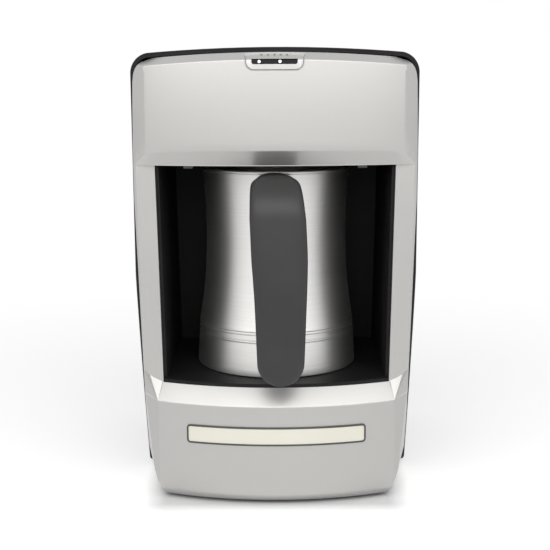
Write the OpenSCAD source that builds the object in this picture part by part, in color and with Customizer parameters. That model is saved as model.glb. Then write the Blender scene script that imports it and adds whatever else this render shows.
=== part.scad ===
// Electric Turkish coffee maker: a one-pot machine with an arched front fascia, an open cavity
// and a steel pot that pulls out towards the user. Millimetres, +Z up, front towards -Y.
// The origin is on the table, under the middle of the whole object's bounding box.

/* [Machine body] */
// Overall width, across the rear housing
body_w = 154.4; // [148:0.2:170]
// Overall height, from the table to the top of the arch
body_h = 246.8; // [240:0.2:260]
// Drop of the arched top from its middle to its corners
arch_drop = 3.6; // [1:0.2:5]
// Radius of the top corners of the rear housing
top_corner_r = 11; // [6:1:16]
// Distance from the pot's axis to the back of the housing
back_reach = 109.3; // [104:0.5:125]
// Radius of the two upright rear edges
rear_corner_r = 18; // [8:1:26]
// Wall thickness of housing, fascia and base plate
wall = 2.5; // [1.8:0.1:3]

/* [Fascia] */
// How far the fascia's sides stand in from the housing's, beside the cavity
fascia_in = 0.7; // [0.4:0.1:3]
// How far they stand in at the top corners
fascia_top_in = 1.7; // [0.9:0.1:4]
// How far they stand in at the table, where the fascia meets the housing
fascia_base_in = 1.4; // [0.9:0.1:4]
// Height of the black rim seen above the fascia
rim_h = 3; // [2.4:0.1:5]
// Distance from the pot's axis to the front plane of the pillars
face_reach = 44.7; // [40:0.5:46]
// Depth of the fascia's sides behind the front plane of the pillars
side_d = 5; // [4:0.5:8]
// How far the middle of the header stands in front of the pillars
header_bow = 17; // [12:0.5:20]
// Plan radius of the bowed header
header_r = 166; // [150:1:220]
// Distance from the housing's side to the header's bright panel, across the side chamfer
panel_in = 8.2; // [6:0.2:13]
// Height of the bevel under the header panel
bevel_h = 7.4; // [4:0.2:10]
// Depth of this bevel at the header's middle
bevel_d = 9; // [5:0.5:12]
// How far the middle of the base stands in front of the pillars
base_bow = 19; // [15:0.5:22]
// Plan radius of the bowed base
base_r = 169; // [150:1:220]
// Distance from the housing's side to the base panel's front corner
base_in = 13.2; // [12:0.2:18]
// Depth, front to back, of the chamfer beside the base panel's front corners
base_chamfer = 6.9; // [3:0.1:9]
// Height of the sloping ledge below the cavity
ledge_h = 9; // [5:0.5:14]
// Depth of the sloping ledge
ledge_d = 6.5; // [3:0.5:9]
// Height at which the seam between fascia and housing starts to run back
seam_z = 125; // [100:5:150]
// How far the seam runs back on its way down to the table
seam_run = 44; // [30:1:60]
// Lean of the pillars' sides, inwards on their way down, in degrees
pillar_lean = 1.65; // [0:0.05:3]
// Lean of the base's sides
base_lean = 5; // [1:0.5:8]
// Lean of the lowest part of the base's sides
foot_lean = 14; // [8:1:30]
// Height of this lowest part above the table
foot_lean_z = 16; // [8:1:30]

/* [Cavity] */
// Height of the cavity floor above the table
floor_z = 67; // [64:0.5:80]
// Height left free above the pot
pot_clear = 4; // [3:0.5:8]
// Distance from the housing's side to the fascia's opening, at the top
opening_top_in = 12.6; // [11.6:0.2:15]
// The same distance at the bottom
opening_bottom_in = 14.8; // [13:0.2:17]
// Width of the liner's edge that shows inside the opening
liner_edge = 1.8; // [1:0.1:2.6]
// Wall thickness of the cavity liner
liner_wall = 2; // [1.5:0.1:2.4]

/* [Pot] */
// Outer radius of the pot at its foot
pot_foot_r = 46; // [43:0.5:50]
// Outer radius at the grooved band
pot_band_r = 44.6; // [42:0.2:46]
// Outer radius at the waist
pot_waist_r = 40.1; // [38:0.2:41.5]
// Outer radius at the rim
pot_rim_r = 42.2; // [41:0.2:44]
// Overall height of the pot
pot_h = 114; // [106:0.5:115]
// Height of the waist above the pot's foot
pot_waist_h = 74; // [62:1:84]
// Wall thickness of the pot
pot_wall = 1; // [0.8:0.1:1.4]
// Height of the steel skirt that houses the heater
skirt_h = 19; // [17:0.5:24]
// Height of the seal between the skirt and the pot
seal_h = 1.5; // [1:0.1:2.5]
// Height of the bead that stiffens the rim
rim_bead_h = 1.4; // [1:0.1:2]

/* [Handle] */
// Distance from the pot's axis to the handle's outer face
handle_reach = 82.7; // [76:0.5:90]
// Width of the handle at its top
handle_w = 28.6; // [24:0.2:32]
// Width of the handle near its free end
handle_end_w = 25; // [20:0.5:28]
// Thickness of the grip
grip_t = 11; // [8:0.5:14]
// Thickness of the arm that joins the grip to the pot
arm_t = 14; // [12:0.5:18]
// Height of the handle's free end above the pot's foot
handle_end_z = 3.7; // [2:0.1:15]
// Angle at which the handle is set round the pot
handle_turn = 2; // [-3:0.5:3]

/* [Start button] */
// Width of the button
button_w = 30.4; // [26:0.2:36]
// Height of the button
button_h = 9.4; // [8.4:0.2:12]
// Radius of the button's lower corners
button_corner_r = 4.2; // [2:0.2:4.4]
// Depth of the button from the front of the header
button_d = 6; // [5:0.5:8]
// Travel of the button
button_travel = 1.5; // [0.8:0.1:2]
// Running gap round the button
button_gap = 0.4; // [0.3:0.1:0.6]
// Width of the dark window in the button
window_w = 24.4; // [22:0.2:25]
// Height of the dark window
window_h = 2.6; // [2:0.2:3.2]

/* [Label] */
// Width of the label plate
label_w = 97.8; // [80:0.2:110]
// Height of the label plate
label_h = 10.4; // [8:0.2:14]
// Height of the label's centre above the table
label_z = 39.5; // [30:0.5:44]

/* [Electrical] */
// How far the pot's connector stands out behind its foot
plug_out = 4; // [3:0.5:6]
// Width of the pot's connector
plug_w = 30; // [26:1:36]
// Distance between neighbouring contacts
contact_pitch = 9; // [7:0.5:10]
// Radius of the contacts
contact_r = 1.6; // [1.2:0.1:2]
// Radius of the hole for the mains cord
cord_hole_r = 3.6; // [3:0.1:4.5]
// Height of the cord hole above the table
cord_z = 22; // [18:0.5:30]
// Distance from the housing's side to the middle of the cord hole
cord_in = 33.2; // [28:0.5:48]

/* [Feet and screws] */
// Height of the rubber feet
foot_h = 2.5; // [2:0.1:4]
// Radius of the rubber feet
foot_r = 7; // [5:0.5:9]
// Radius of the screw shafts
screw_r = 1.4; // [1:0.1:1.6]
// Radius of the screw heads
head_r = 2.9; // [2.5:0.1:3.2]

/* [Hidden] */
$fn = 96;
// Facets of the wide bows of header and base
bow_fn = 480;

// Gap between pieces that move apart
gap = 0.3;
// Overrun of cutting tools past the faces they cut
over = 1;
// Longer than any part of the object
far = 300;
// Steps of a curve built from straight stretches
steps = 16;
// Colours
silver = [0.78, 0.78, 0.76];
black = [0.06, 0.06, 0.065];
dark_grey = [0.2, 0.2, 0.2];
steel = [0.8, 0.8, 0.8];
brass = [0.85, 0.65, 0.3];
board_green = [0.1, 0.35, 0.2];

// Places along Y, with the bounding box centred on the origin
front_reach = handle_reach * cos(handle_turn) + handle_w / 2 * sin(abs(handle_turn));
pot_y = (front_reach - back_reach) / 2;
face_y = pot_y - face_reach;
back_y = pot_y + back_reach;
seam_y = face_y + side_d;
header_y = face_y - header_bow;
base_y = face_y - base_bow;

// The housing, and the widths that follow it
body_half = body_w / 2;
inner_half = body_half - wall;
fascia_w = body_w - 2 * fascia_in;
fascia_top_w = body_w - 2 * fascia_top_in;
fascia_base_w = body_w - 2 * fascia_base_in;
panel_half_w = body_half - panel_in;
base_half_w = body_half - base_in;
opening_top = body_half - opening_top_in;
opening_bottom = body_half - opening_bottom_in;
cord_x = body_half - cord_in;
fascia_top_z = body_h - rim_h;
under_z = foot_h;
plate_top_z = foot_h + wall;

// The cavity
ceiling_z = floor_z + pot_h + pot_clear;
lip_z = floor_z - liner_wall;
ledge_z = lip_z - ledge_h;
lip_r = base_r - ledge_d;
pot_z = floor_z + gap;
// How far the contact pins stand out of their block
pin_out = 1;
// How far the contact block stands into the cavity
block_out = 2;
cavity_back_y = pot_y + pot_foot_r + plug_out + gap + pin_out + block_out;

// Points on an arc from angle a0 to angle a1
function arc(c, r, a0, a1, n = 8) =
    [for (i = [0:n]) c + r * [cos(a0 + (a1 - a0) * i / n), sin(a0 + (a1 - a0) * i / n)]];
// Height of the arched top at x
function arch_z(x, half, top) = top - arch_drop * pow(x / half, 2);
// Mirror image of a half outline, so that the whole runs round once
function both_sides(pts) = concat(pts, [for (i = [len(pts) - 1:-1:0]) [-pts[i][0], pts[i][1]]]);
// Depth of a bow of radius r at a distance x from its middle
function sagitta(r, x) = r - sqrt(r * r - x * x);

// Right half of the housing's front outline, shrunk by inset
function housing_half(inset) = let (
    half = body_half - inset,
    top = body_h - inset,
    r = top_corner_r - inset,
    x0 = half - r
) concat(
    [[half, under_z - (inset > 0 ? over : 0)]],
    arc([x0, arch_z(x0, body_half, top) - r], r, 0, 90),
    [for (i = [1:steps / 2]) let (x = x0 * (1 - 2 * i / steps)) [x, arch_z(x, body_half, top)]]
);

// Right half of the fascia's front outline, shrunk by inset
function fascia_half(inset) = let (
    half = fascia_top_w / 2 - inset,
    top = fascia_top_z - inset,
    r = top_corner_r - inset,
    x0 = half - r
) concat(
    [[fascia_base_w / 2 - inset, under_z - (inset > 0 ? over : 0)],
     [fascia_base_w / 2 - inset, ledge_z - ledge_h],
     [fascia_w / 2 - inset, floor_z],
     [fascia_w / 2 - inset, ceiling_z + bevel_h]],
    arc([x0, arch_z(x0, body_half, top) - r], r, 0, 90),
    [for (i = [1:steps / 2]) let (x = x0 * (1 - 2 * i / steps)) [x, arch_z(x, body_half, top)]]
);

// Extrudes an outline drawn in X and Z along Y, from y0 to y1
module along_y(y0, y1) {
    translate([0, y1, 0]) rotate([90, 0, 0]) linear_extrude(y1 - y0) children();
}

// Extrudes an outline drawn in Y and Z along X, from x0 to x1
module along_x(x0, x1) {
    translate([x0, 0, 0]) rotate([90, 0, 90]) linear_extrude(x1 - x0) children();
}

// Extrudes an outline drawn in X and Y along Z, from z0 to z1
module along_z(z0, z1) {
    translate([0, 0, z0]) linear_extrude(z1 - z0) children();
}

// Block between two opposite corners
module block(low, high) {
    translate(low) cube(high - low);
}

// Round bar along Y
module bar_y(x, z, r, y0, y1) {
    translate([x, y0, z]) rotate([-90, 0, 0]) cylinder(r = r, h = y1 - y0);
}

// Round bar along Z
module bar_z(x, y, r, z0, z1) {
    translate([x, y, z0]) cylinder(r = r, h = z1 - z0);
}

// Rectangle with round corners, centred
module round_rect(w, h, r) {
    square([w - 2 * r, h], center = true);
    square([w, h - 2 * r], center = true);
    for (sx = [-1, 1])
        for (sy = [-1, 1])
            translate([sx * (w / 2 - r), sy * (h / 2 - r)]) circle(r = r);
}

// Side view of everything in front of the seam between fascia and housing, moved back by shift
module seam_side(shift = 0) {
    curve = [for (i = [0:steps]) let (t = i / steps)
        [seam_y + shift + seam_run * pow(t, 1.15), seam_z - (seam_z + over) * t]];
    polygon(concat([[-far, -over], [-far, far], [seam_y + shift, far]], curve));
}

// How far a chamfer starts in front of the bow that it cuts
corner_lead = 0.5;
// Half widths at which the base's sides meet the pillars', and its lowest part meets them
base_top_x = fascia_w / 2 - (ceiling_z - lip_z) * tan(pillar_lean);
foot_side_x = base_top_x - (lip_z - foot_lean_z) * tan(base_lean);
// Half width at which the pillars' flat front ends
pillar_front = opening_top + (fascia_w / 2 - opening_top) * 0.85;
// Half plan of the base beside its front, from its chamfered corner back to the seam
corner_y = base_y + sagitta(base_r, base_half_w) - corner_lead;
function base_side(inset) = let (
    x0 = base_top_x,
    y0 = corner_y + base_chamfer,
    y1 = seam_y + seam_run
) [for (i = [0:steps]) let (t = i / steps)
    [x0 + (fascia_base_w / 2 - x0) * (1 - pow(1 - t, 2)) - inset, y0 + (y1 - y0) * t]];

// Plan of the base, open to the back
module base_plan(inset) {
    polygon(both_sides(concat([[base_half_w - inset, -far], [base_half_w - inset, corner_y]],
                              base_side(inset), [[fascia_base_w / 2 - inset, far]])));
}

// The base's front body up to the ledge, shrunk by inset
module base_mass(inset) {
    centre_y = base_y + base_r;
    intersection() {
        along_z(under_z - (inset > 0 ? over : 0), lip_z - inset) base_plan(inset);
        union() {
            bar_z(0, centre_y, base_r - inset, under_z - over, ledge_z - inset, $fn = bow_fn);
            translate([0, centre_y, ledge_z - inset])
                cylinder(r1 = base_r - inset, r2 = lip_r - inset, h = ledge_h, $fn = bow_fn);
        }
    }
}

// Angles at which the sides of the pillars and of the base open to the back
pillar_turn = 7;
base_turn = 10.8;

// Everything between two leaning planes, through a point at x and z in the pillars' front plane
module between_sides(x, z, lean, turn, inset) {
    intersection_for(side = [-1, 1])
        scale([side, 1, 1]) translate([x, face_y, z]) rotate([0, lean, -turn])
            block([-2 * far, -far, -far], [-inset, far, far]);
}

// Room between the leaning sides of pillars and base
module leaning_sides(inset) {
    intersection() {
        between_sides(fascia_w / 2, ceiling_z, pillar_lean, pillar_turn, inset);
        between_sides(base_top_x, lip_z, base_lean, base_turn, inset);
        between_sides(foot_side_x, foot_lean_z, foot_lean, base_turn, inset);
    }
}

// Plan of the header, with the chamfers beside its panel
module header_plan() {
    side_y = header_y + sagitta(header_r, panel_half_w) - corner_lead;
    polygon(both_sides([[panel_half_w, -far], [panel_half_w, side_y],
                        [pillar_front, face_y + side_d / 3],
                        [fascia_w / 2, seam_y - over], [fascia_w / 2, far]]));
}

// The header's front body with the bevel under its panel
module header_mass() {
    centre_y = header_y + header_r;
    intersection() {
        along_z(ceiling_z, far) header_plan();
        union() {
            bar_z(0, centre_y, header_r, ceiling_z + bevel_h, fascia_top_z - rim_h, $fn = bow_fn);
            translate([0, centre_y, ceiling_z])
                cylinder(r1 = header_r - bevel_d, r2 = header_r, h = bevel_h, $fn = bow_fn);
            translate([0, centre_y, fascia_top_z - rim_h])
                cylinder(r1 = header_r, r2 = header_r - 2 * rim_h, h = rim_h + over, $fn = bow_fn);
        }
    }
}

// The two pillars beside the cavity, full thickness. What is cut out of them overruns the opening
module pillar_mass(inset) {
    difference() {
        along_z(lip_z - over, ceiling_z + bevel_h)
            polygon(both_sides([[pillar_front, face_y], [fascia_w / 2, seam_y - over],
                                [fascia_w / 2, far]]));
        along_y(-far, far) opening_outline(inset > 0 ? over : 0);
    }
}

// Outline of the cavity opening, shrunk by inset on its sides
module opening_outline(inset) {
    polygon([[-(opening_bottom - inset), lip_z], [opening_bottom - inset, lip_z],
             [opening_top - inset, ceiling_z], [-(opening_top - inset), ceiling_z]]);
}

// All the fascia's bodies as one, without thickness
module fascia_mass(inset) {
    intersection() {
        along_y(-far, far) polygon(both_sides(fascia_half(inset)));
        leaning_sides(inset);
        union() {
            base_mass(inset);
            translate([0, inset, 0]) header_mass();
            translate([0, inset, 0]) pillar_mass(inset);
        }
    }
}

// Radius of the screw bosses
boss_r = 3.2;
// How deep the screws go into their bosses
screw_bite = 6;
// Ears of the liner, with their depth behind the pillars and their distance from floor and ceiling
ear_back = 8;
ear_in = 16;
ear_y = face_y + wall + ear_back;
// Place of the ears between the opening and the housing's inner side, as a share of that room
ear_share = 0.4;
ear_x = opening_top + (inner_half - opening_top) * ear_share;
ear_zs = [floor_z + ear_in, ceiling_z - ear_in];

// Control board behind the header
board_back = 14;
board_t = 1.6;
board_half_w = 32;
// Distance of the board's screws from its edges, and of the upper ones from the fascia's top
board_edge = 4;
board_top_in = 12;
// Height of the lower screws above the ceiling, as a share of the header's height
board_low_share = 0.43;
board_y = header_y + board_back;
board_boss_x = board_half_w - board_edge;
board_zs = [ceiling_z + (fascia_top_z - ceiling_z) * board_low_share, fascia_top_z - board_top_in];
board_low_z = board_zs[0] - board_edge;
board_high_z = arch_z(board_half_w, body_half, fascia_top_z) - wall - gap;

// The start button
window_drop = 4.9;
// Sideways places of the two lights, and their radius
lens_xs = [-7.9, 2.8];
dot_r = 1;
button_low_z = fascia_top_z - button_h;
button_back_y = header_y + button_d;
pocket_back_y = button_back_y + button_travel + button_gap;
window_z = fascia_top_z - window_drop;

// Outline of the button's face, grown by grow
module button_outline(grow) {
    half = button_w / 2 + grow;
    r = button_corner_r + grow;
    low = button_low_z - grow;
    block2([-half, low + r], [half, fascia_top_z + over]);
    block2([-(half - r), low], [half - r, low + r]);
    for (side = [-1, 1])
        translate([side * (half - r), low + r]) circle(r = r);
}

// Bosses that take the base screws: distance from the seam, from the cavity's back and from the corner
front_boss_in = 12;
front_boss_side = 1.5;
mid_boss_in = 12;
rear_boss_in = 6;
// Depth to which these bosses sink into the walls beside them
boss_sink = 0.5;
boss_top_z = 24;
boss_bore_d = 12;
front_boss_y = seam_y + front_boss_in;
front_boss_x = base_half_w - front_boss_side;
rear_boss_x = inner_half - boss_r + boss_sink;
rear_boss_ys = [cavity_back_y - mid_boss_in, back_y - rear_corner_r - rear_boss_in];

// Room for the liner's floor behind the ledge, in from the opening's sides and back from the ledge
floor_room = 4;
// Depth of the tongue that seats inside the housing
tongue_d = 4;

module front_fascia() color(silver) {
    difference() {
        union() {
            difference() {
                intersection() {
                    fascia_mass(0);
                    along_x(-far, far) seam_side();
                }
                fascia_mass(wall);
                // room for the liner's floor behind the ledge
                block([-(opening_bottom - floor_room), face_y + wall + floor_room, lip_z - 2 * wall],
                      [opening_bottom - floor_room, far, lip_z + over]);
            }
            // tongue that seats inside the housing's front edge
            intersection() {
                along_y(-far, far) difference() {
                    polygon(both_sides(housing_half(wall)));
                    polygon(both_sides([for (p = housing_half(2 * wall)) [p[0], p[1] - over]]));
                }
                difference() {
                    along_x(-far, far) seam_side(tongue_d);
                    along_x(-far, far) seam_side(-side_d / 2);
                }
                block([-far, -far, plate_top_z + over], [far, far, far]);
                leaning_sides(over);
                translate([0, over, 0]) along_z(0, far) header_plan();
            }
            for (side = [-1, 1]) {
                for (z = ear_zs)
                    bar_y(side * ear_x, z, boss_r, face_y + over, ear_y);
                for (z = board_zs)
                    bar_y(side * board_boss_x, z, boss_r,
                          header_y + sagitta(header_r, board_boss_x) + over, board_y);
            }
            intersection() {
                fascia_mass(over);
                for (side = [-1, 1])
                    scale([side, 1, 1])
                        block([front_boss_x - boss_r, front_boss_y - boss_r, plate_top_z],
                              [far, front_boss_y + boss_r, boss_top_z]);
            }
        }
        // pocket of the start button
        along_y(-far, pocket_back_y) button_outline(button_gap);
        for (side = [-1, 1]) {
            for (z = ear_zs)
                bar_y(side * ear_x, z, screw_r, face_y + wall, ear_y + over);
            for (z = board_zs)
                bar_y(side * board_boss_x, z, screw_r, board_y - screw_bite, board_y + over);
            bar_z(side * front_boss_x, front_boss_y, screw_r, plate_top_z - over, plate_top_z + boss_bore_d);
        }
    }
}

// Cooling slots, low in the back and in the base plate
slot_w = 4;
back_slot_pitch = 10;
back_slot_zs = [40, 58];
base_slot_pitch = 8;
base_slot_in = [50, 25];

module rear_housing() color(black) {
    difference() {
        union() {
            difference() {
                housing_block(0);
                housing_block(wall);
            }
            for (side = [-1, 1])
                for (y = rear_boss_ys)
                    scale([side, 1, 1])
                        block([rear_boss_x - boss_r, y - boss_r, plate_top_z],
                              [inner_half + over, y + boss_r, boss_top_z]);
        }
        bar_y(cord_x, cord_z, gland_r, back_y - wall - over, back_y + over);
        for (side = [-1, 1])
            for (y = rear_boss_ys)
                bar_z(side * rear_boss_x, y, screw_r, plate_top_z - over, plate_top_z + boss_bore_d);
        for (i = [-2:2])
            block([i * back_slot_pitch - slot_w / 2, back_y - wall - over, back_slot_zs[0]],
                  [i * back_slot_pitch + slot_w / 2, back_y + over, back_slot_zs[1]]);
    }
}

// The housing's outer or inner block, behind the seam
module housing_block(inset) {
    r = rear_corner_r - inset;
    intersection() {
        along_y(-far, far) polygon(both_sides(housing_half(inset)));
        along_z(-far, far) {
            block2([-(body_half - inset), seam_y - 2 * inset - over],
                   [body_half - inset, back_y - inset - r]);
            block2([-(body_half - inset - r), seam_y], [body_half - inset - r, back_y - inset]);
            for (side = [-1, 1])
                translate([side * (body_half - inset - r), back_y - inset - r]) circle(r = r);
        }
        difference() {
            block([-far, -far, -far], [far, far, far]);
            if (inset == 0) along_x(-far, far) seam_side();
        }
    }
}

// Rectangle between two opposite corners
module block2(low, high) {
    translate(low) square(high - low);
}

module cavity_liner() color(dark_grey) {
    front_y = face_y + wall;
    difference() {
        union() {
            along_y(front_y, cavity_back_y + liner_wall) liner_outline(0);
            // lip in front of the floor, along the ledge
            intersection() {
                bar_z(0, base_y + base_r, lip_r, lip_z, floor_z, $fn = bow_fn);
                block([-far, -far, 0], [far, front_y + over, far]);
                along_y(-far, far) opening_outline(0);
            }
            // ears for the fascia screws
            for (side = [-1, 1])
                for (z = ear_zs)
                    scale([side, 1, 1])
                        block([opening_bottom - liner_edge, ear_y, z - boss_r],
                              [ear_x + boss_r, ear_y + liner_wall, z + boss_r]);
        }
        along_y(front_y - over, cavity_back_y) liner_outline(liner_wall);
        along_y(-far, front_y + over) intersection() {
            liner_outline(liner_wall);
            block2([-far, floor_z], [far, far]);
        }
        for (side = [-1, 1])
            for (z = ear_zs)
                bar_y(side * ear_x, z, screw_r, ear_y - over, ear_y + liner_wall + over);
        // window for the contact block
        block([-block_w / 2, cavity_back_y - over, block_low_z],
              [block_w / 2, cavity_back_y + liner_wall + over, block_high_z]);
        // hole for the foam sensor's lens
        bar_z(0, pot_y, lens_r, ceiling_z - over, ceiling_z + liner_wall + over);
    }
}

// Front view of the liner's box, shrunk by inset
module liner_outline(inset) {
    out = liner_wall - liner_edge - inset;
    polygon([[-(opening_bottom + out), lip_z + inset], [opening_bottom + out, lip_z + inset],
             [opening_top + out, ceiling_z + liner_wall - inset],
             [-(opening_top + out), ceiling_z + liner_wall - inset]]);
}

// Clips under the cavity's ceiling
clip_x = 47;
clip_w = 4.8;
clip_h = 2.2;
clip_d = 3;
module liner_clips() color([0.5, 0.5, 0.5]) {
    for (side = [-1, 1])
        block([side * clip_x - clip_w / 2, face_y + wall + over, ceiling_z - clip_h],
              [side * clip_x + clip_w / 2, face_y + wall + over + clip_d, ceiling_z]);
}

// Feet, with the pegs that hold them in the base plate
foot_in = 4;
front_foot_in = 6;
foot_x = base_half_w - foot_r - foot_in;
foot_ys = [face_y + front_foot_in, back_y - rear_corner_r];
peg_r = 2.2;
module base_plate() color(black) {
    difference() {
        union() {
            intersection() {
                along_z(under_z, plate_top_z) base_plan(wall);
                bar_z(0, base_y + base_r, base_r - wall, 0, far, $fn = bow_fn);
                block([-far, -far, 0], [far, seam_y + seam_run, far]);
                leaning_sides(wall);
            }
            intersection() {
                housing_block(wall);
                block([-far, seam_y + seam_run - over, under_z], [far, far, plate_top_z]);
            }
            for (x = [-1, 1])
                for (y = power_ys)
                    bar_z(x * power_screw_x, y, boss_r, plate_top_z, power_z);
        }
        for (x = [-1, 1]) {
            for (y = foot_ys)
                bar_z(x * foot_x, y, peg_r, 0, far);
            for (y = power_ys)
                bar_z(x * power_screw_x, y, screw_r, plate_top_z, far);
            bar_z(x * front_boss_x, front_boss_y, screw_r, 0, far);
            for (y = rear_boss_ys)
                bar_z(x * rear_boss_x, y, screw_r, 0, far);
        }
        for (i = [-3:3])
            block([i * base_slot_pitch - slot_w / 2, back_y - base_slot_in[0], 0],
                  [i * base_slot_pitch + slot_w / 2, back_y - base_slot_in[1], far]);
    }
}

module rubber_feet() color([0.1, 0.1, 0.1]) {
    for (x = [-1, 1])
        for (y = foot_ys) {
            bar_z(x * foot_x, y, foot_r, 0, foot_h);
            bar_z(x * foot_x, y, peg_r, foot_h, plate_top_z);
        }
}

head_h = 1.6;
base_screw_l = 10;
// Screw standing up from its head, with its head's seat at the origin
module screw(shaft_l) {
    translate([0, 0, -head_h]) cylinder(r = head_r, h = head_h);
    cylinder(r = screw_r, h = shaft_l);
}

module base_screws() color(steel) {
    for (x = [-1, 1]) {
        translate([x * front_boss_x, front_boss_y, foot_h]) screw(base_screw_l);
        for (y = rear_boss_ys)
            translate([x * rear_boss_x, y, foot_h]) screw(base_screw_l);
    }
}

module fascia_screws() color(steel) {
    for (x = [-1, 1])
        for (z = ear_zs)
            translate([x * ear_x, ear_y + liner_wall, z]) rotate([90, 0, 0]) screw(liner_wall + screw_bite);
}

// Label plate with its raised frame
label_frame = 0.9;
label_t = 0.5;
frame_t = 0.8;
label_corner_r = 2;
module label_ring(t) {
    translate([0, base_y + base_r, 0]) difference() {
        cylinder(r = base_r + t, h = far, $fn = bow_fn);
        translate([0, 0, -over]) cylinder(r = base_r, h = far + 2 * over, $fn = bow_fn);
    }
}

module label_plate() color([0.93, 0.91, 0.84]) {
    intersection() {
        label_ring(label_t);
        along_y(-far, face_y) translate([0, label_z])
            round_rect(label_w - 2 * label_frame, label_h - 2 * label_frame, label_corner_r - label_frame);
    }
}

module label_bezel() color(dark_grey) {
    intersection() {
        label_ring(frame_t);
        along_y(-far, face_y) translate([0, label_z]) difference() {
            round_rect(label_w, label_h, label_corner_r);
            round_rect(label_w - 2 * label_frame, label_h - 2 * label_frame, label_corner_r - label_frame);
        }
    }
}

// Header electronics
switch_d = 3.5;
switch_half = 3;
plunger_d = 1.5;
plunger_r = 1.7;
plunger_y = board_y - switch_d - plunger_d;
stem_z = window_z - 1;
stem_r = 2;
module control_board() color(board_green) {
    difference() {
        block([-board_half_w, board_y, board_low_z], [board_half_w, board_y + board_t, board_high_z]);
        for (x = [-1, 1])
            for (z = board_zs)
                bar_y(x * board_boss_x, z, screw_r, board_y - over, board_y + board_t + over);
    }
}

module tact_switch() color(black) {
    block([-switch_half, board_y - switch_d, stem_z - switch_half],
          [switch_half, board_y, stem_z + switch_half]);
    bar_y(0, stem_z, plunger_r, plunger_y, board_y - switch_d);
}

led_x = 7.9;
led_r = 1.5;
led_d = 3;
module board_leds() color([0.95, 0.95, 0.9]) {
    for (x = [-led_x, led_x]) {
        bar_y(x, stem_z, led_r, board_y - led_d, board_y);
        translate([x, board_y - led_d, stem_z]) sphere(r = led_r);
    }
}

module board_screws() color(steel) {
    for (x = [-1, 1])
        for (z = board_zs)
            translate([x * board_boss_x, board_y + board_t, z]) rotate([90, 0, 0])
                screw(board_t + screw_bite - over);
}

buzzer_r = 6;
buzzer_d = 8;
buzzer_hole_r = 1;
buzzer_hole_d = 2;
module buzzer() color(black) {
    x = board_half_w / 2;
    z = (board_zs[0] + board_zs[1]) / 2;
    end_y = board_y + board_t + buzzer_d;
    difference() {
        bar_y(x, z, buzzer_r, board_y + board_t, end_y);
        bar_y(x, z, buzzer_hole_r, end_y - buzzer_hole_d, end_y + over);
    }
}

// Sensor over the pot
lens_r = 5;
lens_flange = 1;
lens_flange_h = 4;
sensor_half = 12;
sensor_h = 12;
module sensor_housing() color(black) {
    z0 = ceiling_z + liner_wall;
    difference() {
        block([-sensor_half, pot_y - sensor_half, z0], [sensor_half, pot_y + sensor_half, z0 + sensor_h]);
        bar_z(0, pot_y, lens_r + lens_flange, z0 - over, z0 + lens_flange_h);
    }
}

module sensor_lens() color([0.3, 0.05, 0.05]) {
    z0 = ceiling_z + liner_wall;
    bar_z(0, pot_y, lens_r, ceiling_z, z0);
    bar_z(0, pot_y, lens_r + lens_flange, z0, z0 + lens_flange_h);
}

// Contacts between machine and pot
block_w = plug_w;
block_edge = 3;
flange_d = 6;
pin_back = 10;
block_low_z = pot_z + block_edge;
block_high_z = pot_z + skirt_h - block_edge;
contact_z = (block_low_z + block_high_z) / 2;
block_face_y = cavity_back_y - block_out;
module contact_block() color([0.15, 0.15, 0.15]) {
    difference() {
        union() {
            block([-block_w / 2, block_face_y, block_low_z],
                  [block_w / 2, cavity_back_y + liner_wall, block_high_z]);
            block([-block_w / 2 - block_edge, cavity_back_y + liner_wall, block_low_z - block_edge],
                  [block_w / 2 + block_edge, cavity_back_y + liner_wall + flange_d,
                   block_high_z + block_edge]);
        }
        for (i = [-1:1])
            bar_y(i * contact_pitch, contact_z, contact_r, block_face_y - over, far);
    }
}

module contact_pins() color(brass) {
    for (i = [-1:1])
        bar_y(i * contact_pitch, contact_z, contact_r, block_face_y - pin_out,
              cavity_back_y + liner_wall + pin_back);
}

// Electronics in the base, with places on the power board from its front edge
power_rise = 8;
power_t = 1.6;
power_half_w = 48;
power_l = 74;
power_in = 24;
power_edge = 5;
power_z = plate_top_z + power_rise;
power_y0 = face_y + power_in;
power_y1 = power_y0 + power_l;
power_screw_x = power_half_w - power_edge;
power_ys = [power_y0 + power_edge, power_y1 - power_edge];
parts_z = power_z + power_t;
transformer_place = [-34, 14];
transformer_size = [28, 30, 24];
relay_place = [4, 14];
relay_size = [20, 16, 16];
capacitor_place = [12, 42];
capacitor_r = 6;
capacitor_h = 20;
fuse_place = [30, 50];
fuse_r = 3;
fuse_l = 12;
terminal_place = [-16, 62];
terminal_size = [30, 10, 11];
terminal_pitch = 9;
terminal_r = 2.4;
terminal_d = 6;
module power_board() color(board_green) {
    difference() {
        block([-power_half_w, power_y0, power_z], [power_half_w, power_y1, power_z + power_t]);
        for (x = [-1, 1])
            for (y = power_ys)
                bar_z(x * power_screw_x, y, screw_r, power_z - over, power_z + power_t + over);
    }
}

module power_board_screws() color(steel) {
    for (x = [-1, 1])
        for (y = power_ys)
            translate([x * power_screw_x, y, power_z + power_t]) rotate([180, 0, 0])
                screw(power_t + screw_bite);
}

// Places a piece on the power board
module on_board(place) {
    translate([place[0], power_y0 + place[1], parts_z]) children();
}

module transformer() color([0.75, 0.6, 0.1]) {
    on_board(transformer_place) cube(transformer_size);
}

module relay() color([0.1, 0.2, 0.5]) {
    on_board(relay_place) cube(relay_size);
}

module capacitor() color([0.15, 0.15, 0.3]) {
    on_board(capacitor_place) cylinder(r = capacitor_r, h = capacitor_h);
}

module fuse() color(steel) {
    on_board(fuse_place) translate([0, 0, fuse_r]) rotate([0, 90, 0]) cylinder(r = fuse_r, h = fuse_l);
}

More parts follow.
